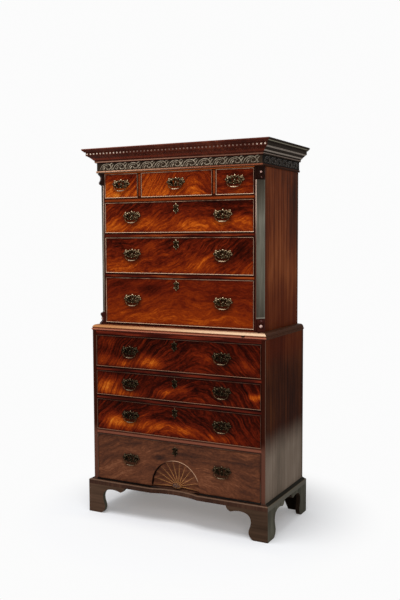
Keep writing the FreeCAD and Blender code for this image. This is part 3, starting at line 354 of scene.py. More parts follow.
# %% Lower sides
reflection_ends, reflection_full = 0.57, 0.40
wood = straight_mahogany("lower_side_mahogany", "180A05", "3C1A0C", "5E3218", 7.7,
                         shine=0.005, spread=0.14)
wood.coat(wood.fade(wood.z, 0.80, 0.92), "5E1E06", 0.35)
wood.coat(wood.fade(wood.z, 0.86, 0.72), "120703", 0.35)
# Painted reflection of the pale floor: grey towards the foot, stronger at a slant.
uneven = wood.add(wood.z, wood.times(wood.noise((5, 5, 1), 2), 0.06))
at_a_slant = wood.fade(wood.node("LayerWeight", {0: 0.5}).outputs["Facing"], 0.15, 0.60)
floor_reflection = wood.times(wood.fade(uneven, reflection_ends, reflection_full),
                   wood.add(0.25, wood.times(at_a_slant, 0.75)))
reflection_grey = wood.ramp(wood.grain, (0.38, "5A4F43"), (0.56, "7A6B5D"), (0.74, "928475"))
wood.coat(floor_reflection, reflection_grey, 0.9)
wood.coat(wood.fade(wood.y, back_face - 0.04, back_face), "1A120C", 0.4)
stile = wood.mix(wood.fade(wood.z, 0.48, 0.42), "30120A", "58362A")
arris = wood.fade(wood.size(wood.x), low_half - 0.004, low_half - 0.001)
wood.coat(wood.facing()[2], wood.mix(arris, stile, "5A4438"))
dress(["lower_case_sides"], wood)

# %% [markdown]
# ## Rails between the drawers
# A thrifty joiner makes the rails of mahogany only where they show and of oak behind.
# Painted shade lies in the thin gaps round each drawer, wider below it, in the shadow
# of its bead, than above. It could be painted on by hand, but the boxes of the drawers
# already say at what heights the gaps lie. So a point is darkened by how near it is to
# one of those heights, and the painted shade always fits.

# %% Streaks on the rails
low_case_ends, up_case_starts = 0.98, 1.03
wood = straight_mahogany("rail_mahogany", "2A0904", "4A130A", "661E10", 1.3)
along = wood.noise((5, 60, 60), 3, 0.6)
low_streaks = wood.ramp(along, (0.34, "1C0705"), (0.50, "42130B"), (0.66, "702816"))
up_streaks = wood.ramp(along, (0.34, "260A05"), (0.50, "5A1C0C"), (0.66, "96441A"))
in_upper = wood.fade(wood.z, low_case_ends, up_case_starts)
wood.coat(0.8, wood.mix(in_upper, low_streaks, up_streaks))
high_up = wood.fade(wood.z, 1.60, 1.63)
wood.coat(wood.times(high_up, wood.add(0.35, wood.times(along, 0.6))), "7E3410")
dull = wood.fade(wood.z, 0.47, 0.43)
wood.coat(dull, "7A4634")
print("streaks laid on", wood.material.name)

# %% Painted shade in the gaps round the drawers
shade_below, shade_above = 0.0070, 0.0042
edges = sorted({(round(corner.z, 4), shade_width) for n in drawer_names
                for corner, shade_width in zip(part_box(n), (shade_below, shade_above))})
gap_shadows = [wood.near(wood.z, level, shade_width + 0.0022, shade_width - 0.0010) for level, shade_width in edges]
top_row = wood.fade(wood.z, 1.640, 1.645)
for x in (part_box("top_centre_drawer")[1].x, -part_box("top_left_drawer")[1].x):
    gap_shadows.append(wood.times(wood.near(wood.size(wood.x), x, 0.006, 0.003), top_row))
top_rail = wood.fade(wood.z, 1.7725, 1.7735)
wood.coat(top_rail, "B4561E", 0.7)
# Painted shade in the gaps, weaker on the lower rails and on the top rail.
wood.coat(wood.times(wood.most(*gap_shadows), wood.add(0.85, wood.times(dull, -0.25)),
                     wood.add(1.0, wood.times(top_rail, -0.85))), "120604")
oak = wood.ramp(wood.grain, (0.4, "6E5234"), (0.7, "9A7A52"))
wood.coat(wood.fade(wood.y, up_front + 0.020, up_front + 0.024), oak)
dress(["lower_drawer_rails", "upper_drawer_rails", "lower_case_boards"], wood)

# %% [markdown]
# ## What all mouldings share
# A moulding is planed as one long strip and mitred at the corners. On this chest the
# fronts are waxed and the returns, the short lengths on the sides, are dull with dust.
# Two materials could be laid on by face, but then every face needs choosing. One
# material that knows on which side of the mitre a point lies does the same for all of
# them. At the mitre the way out past the corner is the same to the side as to the
# front, so one sum tells the side.

# %% Mouldings
def moulding(name, dark, middle, light, dull_coat, seed, half, front):
    """Mahogany moulding whose returns, on the sides, have gone dull and dusty."""
    wood = straight_mahogany(name, dark, middle, light, seed, 0.3)
    wood.coat(wood.noise((6, 6, 120), 3, 0.6), middle, 0.5)
    past_mitre = wood.add(wood.size(wood.x), wood.y, -half - front)
    wood.returns = wood.fade(past_mitre, -0.0003, 0.0003)
    wood.front = wood.less(1.0, wood.returns)
    shine = wood.add(0.04, wood.times(wood.returns, -0.037))
    wood.plug(wood.shader.inputs["Specular IOR Level"], shine)
    wood.coat(wood.returns, dull_coat, 0.9)
    return wood


print("half widths at the mitres:", round(up_half, 4), round(low_half, 4))

# %% [markdown]
# ## Cornice
# The cornice crowns the chest. Its arrises, the sharp edges between one curve and the
# next, carry painted highlights: long light lines on the dusty returns, and on the
# front lines that are brightest at the left, with a reddish band on the lower curve.
# Edges could be found with a bevel trick, but that costs much render time. The profile
# is the same all along, so each arris is simply a narrow band at its own height.

# %% Cornice
wood = moulding("cornice_mahogany", "260D07", "421A10", "66321F", "28241D", 5.2,
                up_half, up_front)
highlight_left = wood.add(0.45, wood.times(wood.fade(wood.x, 0.25, -0.25), 0.55))
on_front = wood.times(wood.less(1.0, wood.facing()[1]), wood.front, highlight_left)
# Painted highlights along the arrises of the returns and of the front.
for up, half, where, code in (
        (0.0595, 0.0012, wood.returns, "857F6C"), (0.0345, 0.0024, wood.returns, "8E8377"),
        (0.0185, 0.0026, wood.returns, "8E8377"), (0.0070, 0.0012, wood.returns, "8E7C70"),
        (0.0055, 0.0020, on_front, "AC8068"), (0.0200, 0.0040, on_front, "6C2A18"),
        (0.0700, 0.0012, on_front, "8A5C50")):
    line = wood.near(wood.z, frieze_top + up, half + 0.0008, half - 0.0004)
    wood.coat(wood.times(line, where), code)
dress(["cornice"], wood)

# %% [markdown]
# ## Ground of the frieze
# Carving stands out because the ground behind it is dark: the carver pricks it with a
# punch and polish and soot stay in it. The small ledge below carries a painted
# highlight, brightest at its left end. Just under the ledge the wood is painted dark as
# shade, and a black line of painted shadow runs along the top, under the cornice.
# Ground and ledge could be two materials, but their heights tell them apart, so one
# finish will do.

# %% Ground of the frieze
wood = moulding("frieze_ground", "1E1610", "30241A", "46382A", "141210", 6.1,
                up_half, up_front)
# Painted highlight on the ledge, brightest at its left end.
ledge_highlight = wood.times(wood.fade(wood.z, frieze_low + 0.001, frieze_low - 0.001),
                   wood.less(1.0, wood.times(wood.returns, 0.8)))
wood.coat(ledge_highlight, wood.mix(wood.fade(wood.x, 0.3, -up_half), "94543A", "D8A888"))
# Painted shade under the ledge and a black painted shadow line under the cornice.
wood.coat(wood.fade(wood.z, frieze_low - 0.0046, frieze_low - 0.0060), "2A1A10", 0.85)
wood.coat(wood.fade(wood.z, frieze_top - 0.0040, frieze_top - 0.0030), "080504")
dress(["frieze"], wood)

# %% [markdown]
# ## Waist moulding
# The waist moulding hides the joint between the two cases. The thumb, the broad curve
# at its front, carries a painted highlight that grows paler to the right and fades
# towards the back. Under the thumb lie a fillet, a bead with a painted highlight and a
# hollow painted dark as shade. Each could be a material of its own, but the profile is
# the same all along, so the height and the depth of a point tell which it belongs to.
# One small chip on the right is a soft dark patch.

# %% Waist moulding
wood = moulding("waist_mahogany", "4A1A0C", "6E2E1A", "8A4A2E", "3E2A1E", 8.3,
                low_half, low_front)
up = wood.less(wood.z, waist_foot)
# A painted highlight on the bead and painted shade in the hollow below it.
for where, code, share in ((wood.band(up, 0.0055, 0.0125, 0.0015), "B06C54", 0.8),
                           (wood.fade(up, 0.0065, 0.0050), "2E0C06", 0.8),
                           (wood.fade(up, 0.0115, 0.0125), "5A3420", 0.5)):
    wood.coat(wood.times(where, wood.front), code, share)
to_back = wood.fade(wood.y, low_front - 0.004, low_front + 0.016)
# Painted highlight on the thumb, paler to the right and fading towards the back.
thumb_highlight = wood.times(wood.fade(up, 0.0180, 0.0205), wood.front,
                   wood.add(1.0, wood.times(to_back, -0.85)))
wood.coat(thumb_highlight, wood.mix(wood.fade(wood.x, -low_half, low_half), "B47B4C", "E6C4A0"))
chip = wood.pool((0.3755, -0.2359, 0.9757), (0.016, 0.02, 0.007))
wood.coat(wood.fade(chip, 0.15, 0.4), "1E120A")
dress(["waist_moulding"], wood)

# %% [markdown]
# ## Base moulding
# The base moulding runs round just above the feet. It is the darkest of the three.
# Its top arris carries a painted highlight, the top of its returns is painted dark as
# shade, and a black painted shadow lies in the groove where it meets the case. Each
# could be drawn by hand, but a band at a known height turns every corner by itself.

# %% Base moulding
wood = moulding("base_mahogany", "22140D", "3A241A", "563A2A", "5E5B51", 4.9,
                low_half, low_front)
# Painted highlight on the top arris and painted shade on top of the returns.
arris_highlight_colour = wood.mix(wood.returns, "806450", "6A5C4A")
wood.coat(wood.band(wood.z, 0.1695, 0.1745, 0.0010), arris_highlight_colour, 0.5)
wood.coat(wood.times(wood.fade(wood.z, 0.1725, 0.1740), wood.returns), "0C0A07", 0.85)
# Black painted shadow in the groove under the bottom drawer.
groove_shadow = wood.times(wood.fade(wood.z, 0.1748, 0.1762),
                    wood.fade(wood.y, low_front + 0.004, low_front + 0.003),
                    wood.fade(wood.size(wood.x), low_half - 0.019, low_half - 0.021))
wood.coat(groove_shadow, "080503")
dress(["base_moulding"], wood)

# %% [markdown]
# ## Canted corners
# The front corners of the upper case are planed off at an angle. The cant looks grey
# green: partly wood that has lost its red to daylight, partly a painted reflection of
# the room. It is painted darker towards its top and its foot, and its front arris
# carries a painted highlight, palest high up. A point is placed across the cant by the
# sum of its X and Y, because the cant lies at 45 degrees. The coordinates could be
# turned with the board, but the sum serves both corners at once. Above and below the
# cant stand the dark blocks of the corbels.

# %% Canted corners
cant, cant_foot, cant_head = 0.029, 1.0600, 1.7150
# Grey green: partly faded wood, partly a painted reflection of the room.
wood = straight_mahogany("cant_mahogany", "565549", "79776A", "9F9C8D", 9.4, 0.4,
                         spread=0.13)
on_cant = wood.band(wood.z, cant_foot, cant_head, 0.0005)
# Painted darker towards the top and the foot of the cant.
dull_coat = wood.add(wood.times(wood.fade(wood.z, 1.25, 1.06), 0.60),
                 wood.times(wood.fade(wood.z, 1.5, 1.68), 0.62))
wood.coat(dull_coat, "2E2A22")
wood.coat(wood.times(wood.fade(wood.z, 1.068, 1.066), on_cant), "8E887A")
wood.coat(wood.facing()[2], "2A100A")
# Painted highlight along the front arris, palest high up.
run = wood.add(wood.size(wood.x), wood.y, cant - up_half - up_front)
arris = wood.times(on_cant, wood.fade(wood.size(run), 0.10 * cant, 0.02 * cant))
wood.coat(arris, wood.mix(wood.fade(wood.z, 1.40, 1.60), "5A3426", "D8B8A4"))
blocks = wood.mix(wood.fade(wood.z, 1.6, 1.7), "34140E", "1E0F0A")
wood.coat(wood.less(1.0, on_cant), blocks)
dress(["canted_corners"], wood)

# %% [markdown]
# ## Bracket feet
# The feet have been kicked and mopped for two hundred years, so they are dull and
# brown. The grain of a front bracket lies level. A side bracket is painted grey, partly
# wear and partly a painted reflection of the pale floor. The inner faces, and the faces
# that look forward further back under the case, are painted nearly black as shade.
# Three materials could be given out face by face, but one finish does it all: it asks
# which way each surface looks and how far inside the outline it lies.

# %% Bracket feet
wood = straight_mahogany("foot_mahogany", "281D15", "43342A", "5E4C3E", 2.6, 0.5, 0.01)
level_grain = wood.noise((2.5, 60, 60), 4, 0.6)
front = wood.ramp(level_grain, (0.25, "3A2A20"), (0.52, "4E3A2D"), (0.80, "644A3A"))
front = wood.mix(wood.times(wood.fade(wood.x, 0.0, 0.45), 0.45), front, "20170F")
sideways, _, forward = wood.facing()
wood.coat(forward, front)
# Side brackets: painted grey, partly wear and partly a painted reflection of the pale floor.
wear_and_sheen = wood.ramp(wood.grain, (0.42, "2E2C24"), (0.56, "4A473C"), (0.70, "6C695C"))
wood.coat(sideways, wear_and_sheen)
# Painted shade on faces that look forward further back under the case, and on the inner faces.
wood.coat(wood.times(forward, wood.fade(wood.y, -0.1, 0.1)), "14100C", 0.8)
inner_shade = wood.times(wood.fade(wood.size(wood.x), low_half - 0.004, low_half - 0.010),
                   wood.fade(wood.y, low_front + 0.004, low_front + 0.010),
                   wood.fade(wood.y, back_face - 0.001, back_face - 0.003))
wood.coat(inner_shade, "120C08", 0.85)
dress(["bracket_feet"], wood)

# %% [markdown]
# ## Oak where nobody looks
# Backs, runners and the boards of the upper case are oak without polish. Upright boards
# use the same streaks as the mahogany. The boards that lie flat have their grain along
# the chest, so a second set of streaks, stretched along X, shows wherever a surface
# looks up. Two materials would do as well, but this way no face has to be chosen.

# %% Oak
wood = straight_mahogany("inside_oak", "6B4E31", "8A6A45", "A88A60", 4.4, 0.7)
level_grain = wood.noise((1.2, 45, 45), 4, 0.6)
level = wood.ramp(level_grain, (0.34, "6B4E31"), (0.50, "8A6A45"), (0.66, "A48258"))
wood.coat(wood.facing()[1], level)
dress(["lower_back_boards", "upper_back_boards", "lower_drawer_runners",
       "upper_drawer_runners", "upper_case_boards"], wood)

# %% [markdown]
# ## Flame veneer
# The drawer fronts are the show of the piece. They are veneered with wood cut where a
# great branch leaves the trunk, which makes a figure like flames. Such figure is grain
# seen in bent layers. It could be drawn stripe by stripe, but layers are easier: take
# the height of each point, bend it with slow noise and with a bow round a spine, and
# use the bent height to look up stretched noise. A broad layer, a ribbon and fine
# lines are added with a mottle, and a ramp of six colours turns the sum into wood.

# %% The colours of the veneers
reds = ("0E0201", "2E0802", "561606", "7A2A07", "AC4E0F", "D4842C")
browns = ("1E120C", "32201A", "4A2B1E", "643A26", "84543A", "A4785A")
print("colours from the darkest to the lightest:", len(reds), "reds,", len(browns), "browns")

# %% The figure
# Each layer: scale along and across the figure, shift, roughness, bend and share.
layers = ((3.5, 36, 0, 0.50, 0.2, 0.70), (14, 76, 3, 0.60, 0.3, 0.58),
          (36, 170, 0, 0.65, 0.3, 0.60))


def figure_layers(wood, moved, seed, lean, bow, spine, figure):
    """The layers of the figure, each already weighed, and the fine one by itself."""
    wood.drift = wood.noise((3.5, 3.5, 6), 2, 0.6, place=moved)
    swirl = wood.noise((9, 9, 12), 1, place=moved)
    off = wood.less(wood.x, spine)
    curve = wood.times(wood.calc("POWER", wood.size(off), 1.6), bow)
    bent = wood.add(wood.z, wood.times(off, -lean), curve, wood.times(wood.drift, 0.14),
                    wood.times(swirl, 0.03))
    weighed = []
    for along, across, shift, rough, bend, share in layers:
        place = wood.node("CombineXYZ", {0: wood.times(wood.x, along), 1: seed + shift,
                                         2: wood.times(bent, across)}).outputs[0]
        grain = wood.noise(1.0, 3, rough, bend, place)
        weighed.append(wood.times(grain, share * figure))
    mottle = wood.noise((70, 70, 110), 3, 0.7, place=moved)
    return [*weighed, wood.times(mottle, 0.40 * figure)], grain


print("layers of figure:", len(layers) + 1)

# %% [markdown]
# ## Cock beads, grime and painted shade
# Round the edge of every front runs the cock bead, a thin rounded strip that guards
# the veneer. Its pale colour, palest at its foot on most drawers, is partly its own wood
# and partly a painted highlight on its rounded nose. Its outer edge is painted dark as
# the shadow in the gap, and painted shade lies in the corner beside it. Round each
# handle lies a dark pool, partly dirt and partly painted shadow of the handle. All of
# this could be painted by hand, but the distance to the nearest edge and the place of
# each hinge are known, so two short functions lay it on every drawer alike.

# %% Beads, grime and painted shade
def cock_bead(wood, low, high, moved, pale, foot):
    """The strip round the edge of a front, its painted highlight, the painted shadow of its gap
    and the painted shade inside it.
    """
    above_foot = wood.less(wood.z, low.z)
    inset = wood.least(wood.less(wood.x, low.x), wood.less(high.x, wood.x), above_foot,
                       wood.less(high.z, wood.z))
    patchy = wood.noise(11, 3, 0.6, place=moved)
    # The bead's pale colour is partly its own wood and partly a painted highlight.
    bead = wood.mix(wood.fade(patchy, 0.30, 0.60), "4E2A1C", pale)
    bead = wood.mix(wood.fade(above_foot, 0.006, 0.004), bead, foot)
    # Painted shade beside the bead, then a painted shadow of the gap at its outer edge.
    wood.coat(wood.fade(inset, 0.014, 0.002), "1A0805", 0.35)
    bead = wood.mix(wood.fade(inset, 0.0006, 0.0012), "140806", bead)
    wood.coat(wood.fade(inset, 0.0034, 0.0030), bead)


def handle_grime_and_shadow(wood, name, face, grime_and_shadow):
    """A dark pool round each handle, partly dirt and partly painted shadow; grime_and_shadow
    says how dark it is, from 0 to 1.
    """
    for joint in swings:
        if joint["parent"] == name:
            x, _, z = joint["pos_m"]
            # Partly dirt, partly painted shadow of the handle.
            halo = wood.pool((x, face, z - 0.012), (0.085, 1, 0.058))
            wood.coat(wood.fade(halo, 0.0, 0.7), "140904", grime_and_shadow)


print("handles with grime round them:", len(swings))

# %% A veneer for one drawer
def flame_veneer(name, lean, bow, tones, pools, colours=reds, figure=1.0, spine=0.0,
                 bead="A4826A", foot="D8B496", grime_and_shadow=0.60, thick=0.020, carve=None):
    """Figured wood on a drawer's front and plain oak behind it.

    lean is the slope of the figure and bow its curve away from the spine, and figure
    is its strength. tones are the general tone at the top and at the bottom. pools are
    soft bright or dark places, each x, z, half width, half height and strength. bead
    and foot colour the cock bead, and carve may colour a carving."""
    low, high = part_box(name)
    face = low.y + bead_stands
    wood = Finish(name + "_veneer", Specular_IOR_Level=0.02)
    seed = sum(map(ord, name)) % 17
    moved = wood.moved(seed, 0, seed * 0.7)
    weighed, fine = figure_layers(wood, moved, seed, lean, bow, spine, figure)
    top, bottom = tones
    fall = wood.fade(wood.z, high.z, low.z)
    tone = wood.add(top - 1.14 * figure, wood.times(fall, bottom - top), *weighed)
    for x, z, wide, tall, strength in pools:
        spot = wood.pool((x, face, z), (wide, 1, tall))
        tone = wood.add(tone, wood.times(spot, strength))
    wood.colour = wood.ramp(tone, *((0.2 * i, c) for i, c in enumerate(colours)))
    if carve:
        carve(wood, face)
    handle_grime_and_shadow(wood, name, face, grime_and_shadow)
    cock_bead(wood, low, high, moved, bead, foot)
    behind = wood.fade(wood.y, face + thick - 0.002, face + thick - 0.001)
    oak_lines = wood.noise((40, 3, 40), 3)
    wood.coat(behind, wood.ramp(oak_lines, (0.35, "785A3A"), (0.5, "8A6A45"), (0.65, "9E7E56")))
    wood.rough = wood.add(0.34, wood.times(wood.drift, 0.1), wood.times(behind, 0.3))
    wood.bump(fine, 0.0001, 0.3)
    dress([name], wood)


print("fronts to veneer:", len(drawer_names))

# %% [markdown]
# ## Colour on the carved fan
# The fan is cut into the bottom drawer as shallow hollows between sharp rays. The rays
# carry painted highlights, palest near the centre, and the hollows painted shade. The
# hollows are real joinery, so only the colour is left to do. A mask could be painted
# for it, but every ray points at one centre, so the angle round that centre says
# whether a point is on a ray or in a hollow. The rim of the fan carries a painted
# highlight on the right and a painted shadow just inside it on the left.

# %% Colour on the carved fan
fan_rays, fan_radius = 11, 0.1365
fan_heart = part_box("lower_drawer_4")[0].z + 0.0087


def fan_lines(wood, face):
    """Painted highlights on the arrises between the rays and painted shade in the hollows
    between.
    """
    up = wood.less(wood.z, fan_heart)
    angle = wood.calc("ARCTAN2", up, wood.x)
    part = wood.calc("FRACT", wood.times(angle, fan_rays / math.pi))
    off_line = wood.size(wood.less(part, 0.5))
    away = wood.calc("SQRT", wood.add(wood.times(up, up), wood.times(wood.x, wood.x)))
    inside = wood.times(wood.fade(wood.y, face + 0.004, face + 0.006),
                        wood.fade(away, fan_radius + 0.001, fan_radius))
    # Painted shade in the hollows.
    wood.coat(wood.times(inside, wood.fade(off_line, 0.35, 0.0)), "28140C", 0.3)
    # Painted highlights on the rays, palest near the centre.
    width = wood.calc("DIVIDE", 0.0035, wood.most(away, 0.02))
    line = wood.fade(off_line, wood.less(0.5, width), 0.495)
    wood.coat(wood.times(inside, line, wood.fade(away, 0.16, 0.05)), "E2A45E")
    # Painted highlight on the right of the rim.
    right_arc = wood.times(wood.fade(angle, 2.1, 1.5), wood.fade(angle, 0.3, 0.5))
    rim = wood.near(away, fan_radius, 0.0026, 0.0012)
    wood.coat(wood.times(rim, right_arc), "C49C7C")
    # Painted shadow just inside the left of the rim.
    crescent = wood.near(away, fan_radius - 0.0015, 0.0048, 0.0015)
    wood.coat(wood.times(crescent, wood.fade(angle, 1.8, 2.3)), "150A06")


print("centre of the fan is at height", round(fan_heart, 4))

# %% [markdown]
# ## Ten leaves of veneer
# No two fronts are alike. For each drawer the lines below give the lean of the figure,
# its bow, the tone at the top and the bottom, and then soft pools: places where the
# figure is brighter or darker, each with its middle, its half sizes and its strength.
# Such numbers could be drawn at random, but a cabinet maker picks every leaf for its
# place, so they are chosen one by one.

# %% The three short drawers
flame_veneer("top_left_drawer", 0.7, -1.0, (0.48, 0.72), [
    (-0.40, 1.665, 0.12, 0.09, 0.2), (-0.25, 1.75, 0.1, 0.1, -0.15)],
    spine=-0.3, grime_and_shadow=0.35)
flame_veneer("top_centre_drawer", 0.15, 2.6, (0.47, 0.57), [
    (-0.12, 1.66, 0.2, 0.08, 0.12), (-0.12, 1.74, 0.12, 0.06, 0.12),
    (0.10, 1.70, 0.12, 0.05, 0.06), (0.17, 1.67, 0.06, 0.09, -0.14)],
    spine=0.08, grime_and_shadow=0.35)
flame_veneer("top_right_drawer", 0.1, 0.5, (0.33, 0.41), [
    (0.34, 1.66, 0.1, 0.06, 0.15)], spine=0.3, grime_and_shadow=0.35)

# %% The three long drawers of the upper case
flame_veneer("upper_drawer_1", 0.35, 0.5, (0.27, 0.56), [
    (0.28, 1.60, 0.25, 0.06, -0.14), (-0.18, 1.52, 0.14, 0.05, 0.2),
    (0.07, 1.52, 0.12, 0.05, 0.22), (0.20, 1.515, 0.12, 0.05, 0.15),
    (0.347, 1.533, 0.1, 0.05, 0.15), (-0.353, 1.505, 0.14, 0.06, 0.12),
    (-0.39, 1.59, 0.1, 0.1, 0.1)])
flame_veneer("upper_drawer_2", 0.5, -0.5, (0.27, 0.54), [
    (-0.30, 1.30, 0.2, 0.08, 0.12), (-0.14, 1.40, 0.12, 0.06, 0.15),
    (0.1, 1.32, 0.15, 0.06, 0.16), (-0.354, 1.422, 0.12, 0.07, -0.1),
    (0.028, 1.335, 0.06, 0.06, -0.12), (0.366, 1.362, 0.12, 0.1, -0.20),
    (0.25, 1.30, 0.1, 0.05, -0.14)], grime_and_shadow=0.75)
flame_veneer("upper_drawer_3", 0.14, 0.3, (0.39, 0.55), [
    (-0.23, 1.046, 0.3, 0.1, 0.05), (0.131, 1.042, 0.4, 0.08, 0.08),
    (-0.154, 1.182, 0.12, 0.05, -0.15), (-0.319, 1.204, 0.12, 0.04, -0.1),
    (0.234, 1.156, 0.16, 0.05, -0.12)], figure=0.68, grime_and_shadow=0.75)

# %% The four long drawers of the lower case
# Lower drawers: darker beads, a paler foot as painted highlight, and more grime and painted
# shadow round the handles.
lower_case_bead = {"bead": "5E4436", "foot": "8E6A54", "grime_and_shadow": 0.75}
flame_veneer("lower_drawer_1", 0.1, 1.45, (0.20, 0.30), [
    (-0.40, 0.913, 0.08, 0.05, 0.2), (-0.41, 0.815, 0.1, 0.05, 0.25),
    (-0.30, 0.80, 0.1, 0.04, 0.3), (-0.18, 0.823, 0.1, 0.06, 0.35),
    (-0.113, 0.813, 0.08, 0.05, 0.3), (0.163, 0.86, 0.15, 0.07, 0.15),
    (0.392, 0.835, 0.1, 0.05, 0.2)], spine=0.1, **lower_case_bead)
flame_veneer("lower_drawer_2", 0.0, 1.65, (0.18, 0.31), [
    (-0.427, 0.671, 0.12, 0.06, 0.45), (-0.364, 0.706, 0.12, 0.05, 0.25),
    (-0.30, 0.645, 0.15, 0.04, 0.35), (-0.048, 0.673, 0.1, 0.04, 0.3),
    (0.051, 0.689, 0.08, 0.04, 0.22), (0.44, 0.687, 0.07, 0.03, 0.5)],
    spine=0.12, **lower_case_bead)
flame_veneer("lower_drawer_3", -0.1, 1.2, (0.20, 0.33), [
    (-0.367, 0.50, 0.14, 0.07, 0.45), (-0.27, 0.49, 0.12, 0.05, 0.3),
    (-0.167, 0.493, 0.1, 0.06, 0.3), (-0.082, 0.50, 0.1, 0.05, 0.3),
    (0.049, 0.487, 0.14, 0.05, 0.35), (0.24, 0.466, 0.16, 0.04, 0.25)], **lower_case_bead)
# Its bead foot is painted black as the shadow in the gap under the drawer.
flame_veneer("lower_drawer_4", 0.1, 0.3, (0.47, 0.55), [
    (-0.317, 0.251, 0.15, 0.05, 0.12), (-0.185, 0.365, 0.2, 0.05, 0.06),
    (0.239, 0.252, 0.2, 0.06, 0.06), (-0.084, 0.333, 0.08, 0.025, -0.3),
    (0.06, 0.365, 0.22, 0.02, -0.25), (0.36, 0.36, 0.16, 0.025, -0.15),
    (-0.40, 0.30, 0.1, 0.06, -0.1), (-0.25, 0.39, 0.12, 0.02, -0.15),
    (0.40, 0.22, 0.1, 0.05, -0.12)], browns, 0.78, bead="5E4A3C", foot="080403",
    thick=0.046, carve=fan_lines)
print("veneered fronts:", len(drawer_names))

# %% [markdown]
# ## Aged brass and lock iron
# The brasses have gone dark in their hollows. A metal is all reflection, so its colour
# matters less than how rough it is and where it is dark. Three finishes share one idea:
# noise mixes dark and bright brass. The plates are all patina. The bails are bright
# only at the bottom, where the fingers take them, and the chasing only at the tips;
# these bright parts are partly rubbed brass and partly painted highlights. A painted
# mask could say where, but a height says it as well and fits all seventeen. The
# brasses of the lower case are darker, with weaker painted highlights, so each finish
# has a dull form too.

# %% What all brasses share
def old_brass(name, fineness, rough, stops):
    """rough is the least roughness and how much the patina adds to it."""
    metal = Finish(name, Metallic=1.0)
    metal.patina = metal.noise(fineness, 3, 0.6)
    metal.colour = metal.ramp(metal.patina, *stops)
    metal.rough = metal.add(rough[0], metal.times(metal.patina, rough[1]))
    return metal


for start, name, dark, middle, light in (
        ("lower", "dull_brass", "080603", "1E160D", "483822"),
        (("top", "upper"), "aged_brass", "0E0905", "2E2113", "765C3C")):
    metal = old_brass(name, 160, (0.3, 0.25), ((0.35, dark), (0.55, middle), (0.75, light)))
    metal.bump(metal.noise(420, 2), 0.0003, 0.5)
    dress([n for n in nodes if n.endswith("_brass") and n.startswith(start)], metal)

# %% Brass of the bails
grip_starts, grip_full = -0.0310, -0.0330


def bail_brass(name, painted_highlight):
    """painted_highlight says how bright the grip is painted as a highlight, from 0 to 1."""
    metal = old_brass(name, 110, (0.16, 0.2),
                      ((0.34, "150F08"), (0.50, "40301E"), (0.66, "785E40")))
    metal.coat(0.6 - 0.6 * painted_highlight, "080604")
    bright = metal.ramp(metal.patina, (0.34, "705A42"), (0.50, "BCA282"), (0.66, "F0DEC0"))
    # Painted highlight on the grip at the bottom of the bail.
    metal.coat(metal.fade(metal.z, grip_starts, grip_full), bright, painted_highlight)
    return metal


bail_finishes = {"upper": bail_brass("bail_brass", 1.0),
                 "lower": bail_brass("dull_bail_brass", 0.45)}
print("bail finishes:", len(bail_finishes))

# %% Brass of the chasing
def chased_brass(name, painted_highlight):
    """painted_highlight says how bright the tips are painted as highlights, from 0 to 1."""
    metal = old_brass(name, 150, (0.22, 0.2),
                      ((0.38, "120C06"), (0.52, "382A19"), (0.66, "907250")))
    metal.coat(0.75 - 0.75 * painted_highlight, "080604")
    # Painted highlights on the wing tips, the crest and scattered glints.
    wings = metal.times(metal.fade(metal.size(metal.x), 0.028, 0.036),
                        metal.fade(metal.z, 0.004, 0.010))
    glints = metal.times(metal.fade(metal.noise(75, 2), 0.50, 0.58), 0.75)
    tips = metal.most(wings, metal.fade(metal.z, 0.017, 0.021), glints)
    bright = metal.ramp(metal.patina, (0.36, "5C4832"), (0.52, "B49A74"), (0.66, "F0DAB6"))
    metal.coat(tips, bright, painted_highlight)
    return metal


chasing_finishes = {"upper": chased_brass("chased_brass", 1.0),
                    "lower": chased_brass("dull_chased_brass", 0.16)}
print("chasing finishes:", len(chasing_finishes))

# %% Iron of the bolts
metal = Finish("lock_iron", Metallic=0.8)
metal.colour = metal.ramp(metal.noise(90, 3), (0.3, "1C1A18"), (0.6, "3A332C"), (0.8, "4A3426"))
metal.rough = 0.5
dress([n for n in nodes if n.endswith("_bolt")], metal)

# %% [markdown]
# ## Shapes from sections
# Carving, beads and handles are all made the same way: a small section is carried
# along a line. The line is a list of points and the section a ring of radii, which
# may swell and shrink as it goes. Round bosses are the second shape that is needed.
# Both could be modelled by hand in the viewport, but a few lines that list corners and
# faces can be used a hundred times over, and every copy is clean and closed.

# %% Carry a section along a line
class Body:
    """A growing list of corners and faces."""

    def __init__(self):
        self.corners = []
        self.faces = []

    def sweep(self, line, wide, deep, sides=6, up=(0, -1, 0)):
        """wide and deep are half sizes of the section: one number, or one per point."""
        start = len(self.corners)
        up = Vector(up)
        wide, deep = (v if isinstance(v, list) else [v] * len(line) for v in (wide, deep))
        for i, point in enumerate(line):
            ahead = line[min(i + 1, len(line) - 1)]
            behind = line[max(i - 1, 0)]
            along = (ahead - behind).normalized()
            out = (up - along * along.dot(up)).normalized()
            side = along.cross(out)
            for k in range(sides):
                angle = math.tau * k / sides
                offset = side * math.cos(angle) * wide[i] + out * math.sin(angle) * deep[i]
                self.corners.append(point + offset)
        for a in range(start, start + (len(line) - 1) * sides, sides):
            for k in range(sides):
                b = a + (k + 1) % sides
                self.faces.append((a + k, b, b + sides, a + k + sides))
        last = len(self.corners) - sides
        self.faces.append(tuple(start + k for k in reversed(range(sides))))
        self.faces.append(tuple(last + k for k in range(sides)))


rod = Body()
rod.sweep([Vector((0, 0, 0)), Vector((0, 0, 1))], 0.1, 0.1)
print("faces on a plain rod:", len(rod.faces))

